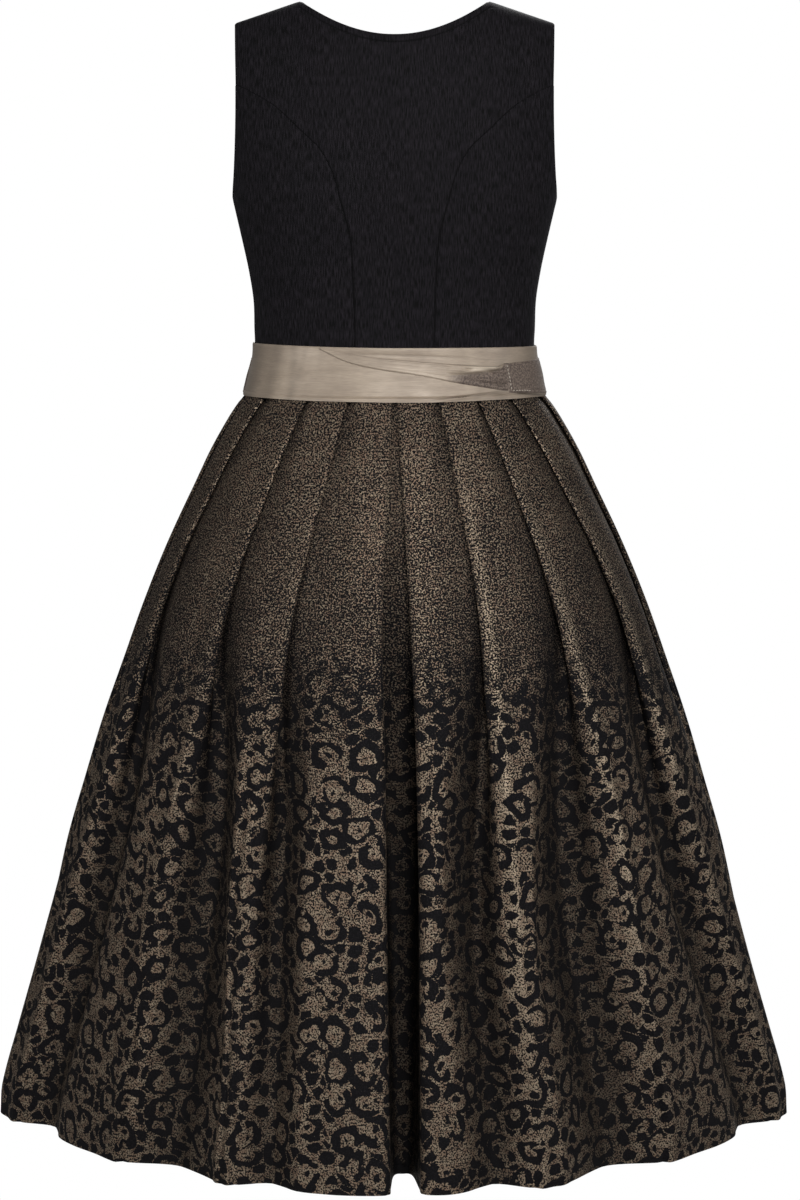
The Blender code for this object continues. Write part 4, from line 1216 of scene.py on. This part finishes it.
def skirt_path(outline, share, panel):
    """The cloth's middle line at one height, from seam to seam: (length round the outline, depth)."""
    centre = sum(along_fold(edge, share) for edge in panel.edges) / 2
    before = [fold for fold in reversed(panel.folds) if fold.waist < panel.middle]
    after = [fold for fold in panel.folds if fold.waist > panel.middle]
    first = half_path(outline, share, before, panel.edges[0], centre, panel.seams[0], -1)
    second = half_path(outline, share, after, panel.edges[1], centre, panel.seams[1], 1)
    start = outline.length_at(centre)
    return np.array([(start - place, depth) for place, depth in reversed(first[1:])]
                    + [(start + place, depth) for place, depth in second])


def rounded(path, counts):
    """The path as a smooth curve, with each stretch cut into as many steps as counts says."""
    chords = np.diff(path, axis=0)
    sizes = np.maximum(np.linalg.norm(chords, axis=1), 1e-6)
    headings = chords / sizes[:, None]
    turns = np.vstack([headings[:1], headings[:-1] + headings[1:], headings[-1:]])
    turns /= np.maximum(np.linalg.norm(turns, axis=1, keepdims=True), 1e-6)
    shorter = np.minimum(np.concatenate([sizes[:1], sizes]), np.concatenate([sizes, sizes[-1:]]))
    pulls = 1.5 * shorter
    made = []
    for index, count in enumerate(counts):
        rise, ease_in, ease_out = curve_weights((np.arange(count) / count)[:, None])
        first = turns[index] * min(sizes[index], pulls[index])
        last = turns[index + 1] * min(sizes[index], pulls[index + 1])
        made.append(path[index] * (1 - rise) + path[index + 1] * rise + first * ease_in - last * ease_out)
    made.append(path[-1:])
    return np.vstack(made)


def skirt_sway(points, share):
    """How far the slack of hanging cloth moves a row out, the same for every layer at one place."""
    turn = np.arctan2(points[:, 0], -points[:, 1])

    def waves_of(sways):
        return sum(sway.part * np.sin(sway.waves * turn + sway.wind * share + sway.turn) for sway in sways)

    slow = SLOW_REACH * share**0.8 * waves_of(SLOW_SWAY)
    return slow + QUICK_REACH * share * (1.2 - share) * waves_of(QUICK_SWAY)


def crest_light(curve, outline, share, panel):
    """How much light the rounded crests beside the folds catch, from 0 to 1, along one row of cloth."""
    lines = [(wavering(fold, share), 1 if fold.waist > panel.middle else -1, 1.0) for fold in panel.folds]
    lines += [(along_fold(edge, share), side, EDGE_LIGHT) for edge, side in zip(panel.edges, (-1, 1))]
    caught = np.zeros(len(curve))
    for angle, side, part in lines:
        beyond = side * (curve[:, 0] - outline.length_at(angle))
        facing = 1.0 if side > 0 else FAR_LIGHT
        caught = np.maximum(caught, part * facing * bell(beyond - CREST_RUN, CREST_WIDTH))
    return np.where(curve[:, 1] < CREST_WIDTH, level_at(CREST_LIGHT, share) * caught, 0)


def fold_marks(curve, outline, share, panel, counts):
    """Each point's depth in a furrow, which sets its painted shade, less the painted highlight on the crests,
    with the strip at the foot of an inverted pleat's floor marked.
    """
    from_middle = np.abs(np.arange(len(curve)) - np.sum(counts) / 2)
    half = len(counts) // 2
    in_recess = from_middle <= np.sum(counts[half:half + RECESS_STRETCHES])
    on_floor = from_middle <= np.sum(counts[half:half + FLOOR_STRETCHES])
    deepest = DEEP_TOP + (DEEP_HEM - DEEP_TOP) * share
    deep = clamp((curve[:, 1] - EDGE_SINK * level_at(OPENING, share)) / deepest)
    deep = np.where(in_recess, deep * level_at(RECESS_SHADE, share), deep)
    deep = deep - crest_light(curve, outline, share, panel)
    return np.where(on_floor & (share > PLAIN_STRIP), PLAIN_MARK, deep)


def skirt_row(outline, curve, share):
    """Points of one row of the skirt's cloth, from its curve inside the outline, with its sway."""
    points = outline.place(curve[:, 0], curve[:, 1] + BROCADE / 2)
    out = np.stack([points[:, 0], points[:, 1] * DEPTH_TO_WIDTH, np.zeros(len(points))], axis=-1)
    out /= np.linalg.norm(out, axis=1, keepdims=True)
    return points + out * (skirt_sway(points, share) * min(share / SWAY_FROM, 1))[:, None]


def steps_of(paths):
    """How many steps each stretch of the cloth's path is cut into, alike on every row."""
    chosen = [paths[0], paths[len(paths) // 2], paths[-1]]
    longest = np.max([np.linalg.norm(np.diff(path, axis=0), axis=1) for path in chosen], axis=0)
    return np.clip(np.rint(longest / SKIRT_STEP), 1, MOST_STEPS).astype(int)


def skirt_panel(panel, materials):
    top = WAIST_SEAM - SEAM_GAP / 2
    shares = run_of(SKIRT_ROWS)
    outlines = [Outline(top + (HEM - top) * share) for share in shares]
    paths = [skirt_path(outline, share, panel) for outline, share in zip(outlines, shares)]
    counts = steps_of(paths)
    rows, cloth_rows, depth_rows = [], [], []
    for outline, path, share in zip(outlines, paths, shares):
        curve = rounded(path, counts)
        points = skirt_row(outline, curve, share)
        run = run_along(points)
        centre = np.interp(np.sum(counts) / 2, np.arange(len(run)), run)
        down = np.full(len(run), share * SKIRT_LENGTH)
        rows.append(points)
        cloth_rows.append(np.stack([run - centre + panel.shift, down], axis=-1))
        depth_rows.append(fold_marks(curve, outline, share, panel, counts))
    points, cloth, deep = np.array(rows[::-1]), np.array(cloth_rows[::-1]), np.array(depth_rows[::-1])
    sheet = cloth_sheet(panel.name + "_cloth", points, cloth, BROCADE, materials, offset=0,
                        marks={"fold_depth": deep})
    settle(sheet, panel.name)


# Sash

def sash_bottom(angle):
    level = np.cos(np.radians(angle))
    dip = np.where(level > 0, SASH_DIP_BACK, SASH_DIP_FRONT)
    return SASH_BOTTOM_SIDE - dip * level * level


def over_body(angle, height, lift):
    """Points a given height over the dress's outline, and their outward directions."""
    points = body_point(angle, height)
    outward = outward_of(points)
    return points + outward * np.asarray(lift)[..., None], outward


def sash_grid(angle, share, bottom, top):
    """Heights of a strip between bottom and top, and its places round the sash, in metres."""
    return bottom + (top - bottom) * share, np.radians(angle) * SASH_RADIUS


def sash_hem(place, from_bottom):
    """The turned hem's ridge and the groove above it, deeper in some places than in others."""
    uneven = HEM_EVEN + HEM_UNEVEN * np.sin(place * HEM_WAVES + HEM_TURN)
    return sum(swell(from_bottom, form) for form in SASH_HEM) * uneven


# narrow watering bands, and painted shade in the two wide bands on the sash's sides
def watering_and_side_shade(place, height):
    return sum(mark.depth * bell(place - mark.place - mark.slant * (height - SASH_TOP), mark.width)
               for mark in WATERING_AND_SIDE_SHADE)


def sash_wrap(materials):
    shares = np.concatenate([run_of(SASH_ROWS), SASH_TOP_ROWS])[:, None]
    angle, share = np.broadcast_arrays(np.linspace(-180, 180, SASH_COLUMNS)[None, :], shares)
    bottom = sash_bottom(angle)
    top = SASH_TOP + SASH_RISE_LEFT * clamp(-np.sin(np.radians(angle)))**1.5
    height, place = sash_grid(angle, share, bottom, top)
    from_bottom, from_top = share * (top - bottom), (1 - share) * (top - bottom)
    creases = [crease(place, height, *form) for form in SASH_CREASES]
    lift = LAY_GAP + WALL + ripple(place, height, SASH_RIPPLES) + sash_hem(place, from_bottom) + sum(creases)
    lift = lift + roll_in(from_bottom, SASH_BOTTOM_ROLL) + roll_in(from_top, SASH_TOP_ROLL)
    # watering bands, painted shade on the sash's sides, and painted shade in the creases' troughs
    watering_and_painted_light = watering_and_side_shade(place, height) + CREASE_SHADE * sum(np.maximum(-form, 0) for form in creases)
    points, _ = over_body(angle, height, lift)
    cloth = np.stack([place, height], axis=-1)
    sheet = cloth_sheet("sash_wrap_cloth", points, cloth, SATIN, materials, closed=True,
                        marks={"watering_and_painted_light": watering_and_painted_light})
    settle(sheet, "sash_wrap")


def waistband_end(materials):
    shares = close_to((1, 1), 20, fine=6, reach=0.12)[:, None]
    angle, share = np.broadcast_arrays(
        np.linspace(BAND_END_ANGLE, BAND_START_ANGLE, BAND_COLUMNS)[None, :], shares)
    toward_side = clamp((angle - BAND_END_ANGLE) / (90 - BAND_END_ANGLE))
    top = BAND_TOP_END + (BAND_TOP_SIDE - BAND_TOP_END) * toward_side
    bottom = BAND_BOTTOM_END + (BAND_BOTTOM_SIDE - BAND_BOTTOM_END) * toward_side
    height, place = sash_grid(angle, share, bottom, top)
    edge = np.minimum(np.minimum(share, 1 - share) * (top - bottom), place - place[:, :1])
    lift = ON_SASH + ripple(place, height, BAND_RIPPLES)
    lift = lift + roll_in(edge, BAND_ROLL) + swell(edge, BAND_STITCHED)
    points, outward = over_body(angle, height, lift)
    cloth = np.stack([place, height], axis=-1)
    sheet = cloth_sheet("waistband_end_cloth", points, cloth, SATIN, materials,
                        marks={"turned": np.ones(angle.shape)})
    settle(sheet, "waistband_end")
    return points, outward


def tie_gathers(share, back):
    """Small folds that run into the tie's end, where back is the degrees to it."""
    near = np.exp(-back / GATHER_REACH) * clamp(back / GATHER_START)
    return near * sum(gather.height * np.sin(2 * math.pi * (gather.waves * share + gather.start))
                      for gather in GATHERS)


def tie_lift(angle, share, rim, above, reach):
    """How far the tie stands out: its puff, its gathers, and the bubble and the hollows at its rim."""
    back = TIE_STATIONS[-1].angle - angle
    puff = TIE_PUFF * np.sin(math.pi * share) * bell(back / PUFF_REACH - 1, 1)
    bubble = BUBBLE * reach * np.where(above > 0, np.sin(math.pi * clamp(above))**0.6, 0)
    hollow = RIM_HOLLOW * reach * bell(share - rim + 0.10, 0.10)
    dent = DENT * swell(share, DENT_SHARE) * swell(angle, DENT_ANGLE)
    return ON_SASH + np.maximum(puff + tie_gathers(share, back) + bubble - hollow - dent, 0)


def tie_painted_light(angle, share, rim, above, reach, from_top):
    """Painted shade along the tie's top edge and under its rim, and a painted highlight on the bubble's
    crown.
    """
    dark = (TOP_LINE + TOP_LINE_MORE * rising(angle, TOP_LINE_DARKER)) * rising(angle, TOP_LINE_IN)
    under_rim = RIM_SHADE * bell(rim - share - 0.04, 0.05)
    crown = CROWN_GLEAM * np.sin(math.pi * clamp(1.1 * above - 0.05)) * rising(angle, CROWN_IN)
    return dark * bell(from_top, TOP_LINE_WIDTH) + reach * (under_rim - crown)


def gathered_tie(materials):
    angles = np.linspace(TIE_STATIONS[0].angle, TIE_STATIONS[-1].angle, TIE_COLUMNS)[None, :]
    angle, share = np.broadcast_arrays(angles, close_to((1, 1), 26, reach=0.10)[:, None])
    top = read_table(TIE_STATIONS, angle, "angle", "top")
    bottom = read_table(TIE_STATIONS, angle, "angle", "bottom")
    height, place = sash_grid(angle, share, bottom, top)
    rim = read_table(TURNED_RIM, angle, "angle", "share")
    above = (share - rim) / np.maximum(1 - rim, 0.05)
    reach = rising(angle, BUBBLE_IN) * rising(angle, BUBBLE_OUT)
    turned = rising(angle, TURNED_IN)**0.8 * clamp((rim - share) / RIM_SOFT)
    tall = np.maximum(top - bottom, 0.002)
    lift = tie_lift(angle, share, rim, above, reach) + roll_in(np.minimum(share, 1 - share) * tall, TIE_ROLL)
    # painted shade along the top edge and under the rim, and a painted highlight on the bubble
    watering_and_painted_light = tie_painted_light(angle, share, rim, above, reach, (1 - share) * tall)
    points, _ = over_body(angle, height, lift)
    cloth = np.stack([place + TIE_CLOTH, height], axis=-1)
    sheet = cloth_sheet("sash_tie_gathered_cloth", points, cloth, SATIN, materials,
                        marks={"turned": turned, "watering_and_painted_light": watering_and_painted_light})
    settle(sheet, "sash_tie_gathered")


# Stitches

def one_stitch():
    """A short length of thread, round at both ends, along X."""
    deselect()
    bpy.ops.mesh.primitive_uv_sphere_add(segments=8, ring_count=5, radius=1)
    stitch = bpy.context.object
    stitch.rotation_euler = (0, math.pi / 2, 0)
    bpy.ops.object.transform_apply(rotation=True)
    bpy.ops.transform.resize(value=(STITCH / 2, THREAD, THREAD * THREAD_HEIGHT))
    bpy.ops.object.transform_apply(scale=True)
    bpy.ops.object.shade_smooth()
    return stitch


def join_all(pieces):
    deselect()
    for piece in pieces:
        piece.select_set(True)
    bpy.context.view_layer.objects.active = pieces[0]
    bpy.ops.object.join()
    return bpy.context.object


def stitch_row(name, route, outward, material):
    """Stitches along a route that lies on the cloth, joined into one piece."""
    model = one_stitch()
    run = run_along(route)
    places = np.arange(STITCH, run[-1] - STITCH / 2, STITCH + STITCH_SPACE)

    def read(values, at):
        return np.array([np.interp(at, run, values[:, part]) for part in range(3)])

    shape = np.array([vertex.co for vertex in model.data.vertices])
    stitches = []
    for place in places:
        copy = model.copy()
        copy.data = model.data.copy()
        bpy.context.collection.objects.link(copy)
        ahead = read(route, place + STITCH / 2) - read(route, place - STITCH / 2)
        ahead /= np.linalg.norm(ahead)
        up = read(outward, place)
        up -= ahead * np.dot(up, ahead)
        up /= np.linalg.norm(up)
        aside = np.cross(up, ahead)
        spots = read(route, place) + shape @ np.array([ahead, aside, up])
        copy.data.vertices.foreach_set("co", spots.ravel())
        stitches.append(copy)
    bpy.data.objects.remove(model, do_unlink=True)
    row = join_all(stitches)
    row.name = name
    row.data.name = name
    row.data.materials.append(material)
    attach(row, "root")
    return row


def neck_stitches(name, panel, material):
    """Topstitching below the neckline, on a centre panel's points."""
    points, outward, below_neck, across = panel
    route, ways = [], []
    for column in range(points.shape[1]):
        if abs(across[column]) * TIP_HALF > NECK_HALF * 1.03:
            continue
        depth = below_neck[::-1, column]
        for grid, line in ((points, route), (outward, ways)):
            line.append([np.interp(NECK_STITCH_DROP, depth, grid[::-1, column, part]) for part in range(3)])
    route, ways = np.array(route), np.array(ways)
    row = stitch_row(name, route + ways * THREAD * THREAD_LIFT, ways, material)


def band_stitches(points, outward, material):
    """Pale stitches down the band's end and for a short way along its lower edge."""
    raised = points + outward * BAND_STITCH_LIFT
    down_end = (slice(3, -3), 2)
    lower_edge = (4, slice(2, BAND_STITCH_COLUMNS))
    for name, where in (("band_end_stitches", down_end), ("band_lower_stitches", lower_edge)):
        row = stitch_row(name, raised[where], outward[where], material)


# Floor, light and camera

def seen_white(tree, kind, shade, output):
    """White to the eye, and shade to the light that falls on the dress."""
    sight = put(tree, "ShaderNodeLightPath").outputs["Is Camera Ray"]
    white = put(tree, kind, {"Color": WHITE, "Strength": 1.0}).outputs[0]
    mix = put(tree, "ShaderNodeMixShader", {0: sight, 1: shade, 2: white})
    fill(tree, tree.nodes[output], {"Surface": mix.outputs[0]})


def studio_floor():
    deselect()
    bpy.ops.mesh.primitive_plane_add(size=FLOOR_SIZE, location=(0, 0, FLOOR))
    floor = bpy.context.object
    floor.name = "studio_floor"
    material, tree, shader = new_material("Pale floor", roughness=0.9, base_color=FLOOR_GREY)
    seen_white(tree, "ShaderNodeEmission", shader.outputs[0], "Material Output")
    floor.data.materials.append(material)


def studio_room():
    world = bpy.data.worlds.new("Studio")
    world.use_nodes = True
    tree = world.node_tree
    room = tree.nodes["Background"]
    fill(tree, room, {"Color": WHITE, "Strength": ROOM_LIGHT})
    seen_white(tree, "ShaderNodeBackground", room.outputs[0], "World Output")
    bpy.context.scene.world = world
    bpy.context.scene.view_settings.view_transform = "Standard"


def studio_light(name, place, aim, size, power):
    deselect()
    bpy.ops.object.light_add(type="AREA", location=place)
    light = bpy.context.object
    light.name = name + "_light"
    light.data.size = size
    light.data.energy = power
    run = np.array(aim) - np.array(place)
    flat = math.hypot(run[0], run[1])
    light.rotation_euler = (math.atan2(flat, -run[2]), 0, math.atan2(-run[0], run[1]))


def camera():
    deselect()
    bpy.ops.object.camera_add(location=CAMERA_PLACE, rotation=(math.radians(90 - CAMERA_DOWN), 0, 0))
    made = bpy.context.object
    made.name = "camera"
    made.data.lens = LENS
    made.data.sensor_width = SENSOR
    bpy.context.scene.camera = made


def dress():
    slubs, threads, leopard = slub_group(), thread_group(), leopard_group()
    bodice = [bodice_material(slubs)]
    brocade = [brocade_material(leopard, threads), wrong_side_material(threads)]
    satin = [satin_material("Taupe satin", SATIN_PALE, SATIN_SHADE, slubs)]
    band = [satin_material("Taupe satin of the band", BAND_PALE, BAND_SHADE, slubs, rough=0.6)]
    pale = thread_material("Pale thread", PALE_THREAD, slubs)
    dark = thread_material("Dark thread", DARK_THREAD, slubs, sheen=0.0)
    for in_front, face in ((False, "back"), (True, "front")):
        panel = centre_panel("bodice_" + face + "_centre", in_front, bodice)
        neck_stitches("neck_stitches_" + face, panel, dark)
        for side, hand in ((-1, "left"), (1, "right")):
            side_panel("bodice_" + face + "_side_" + hand, side, in_front, bodice)
    for panel in (SKIRT_BACK, SKIRT_FRONT):
        skirt_panel(panel, brocade)
    sash_wrap(satin)
    band_points, band_outward = waistband_end(band)
    gathered_tie(satin)
    band_stitches(band_points, band_outward, pale)


dress()
studio_floor()
studio_room()
for light in LIGHTS:
    studio_light(*light)
camera()
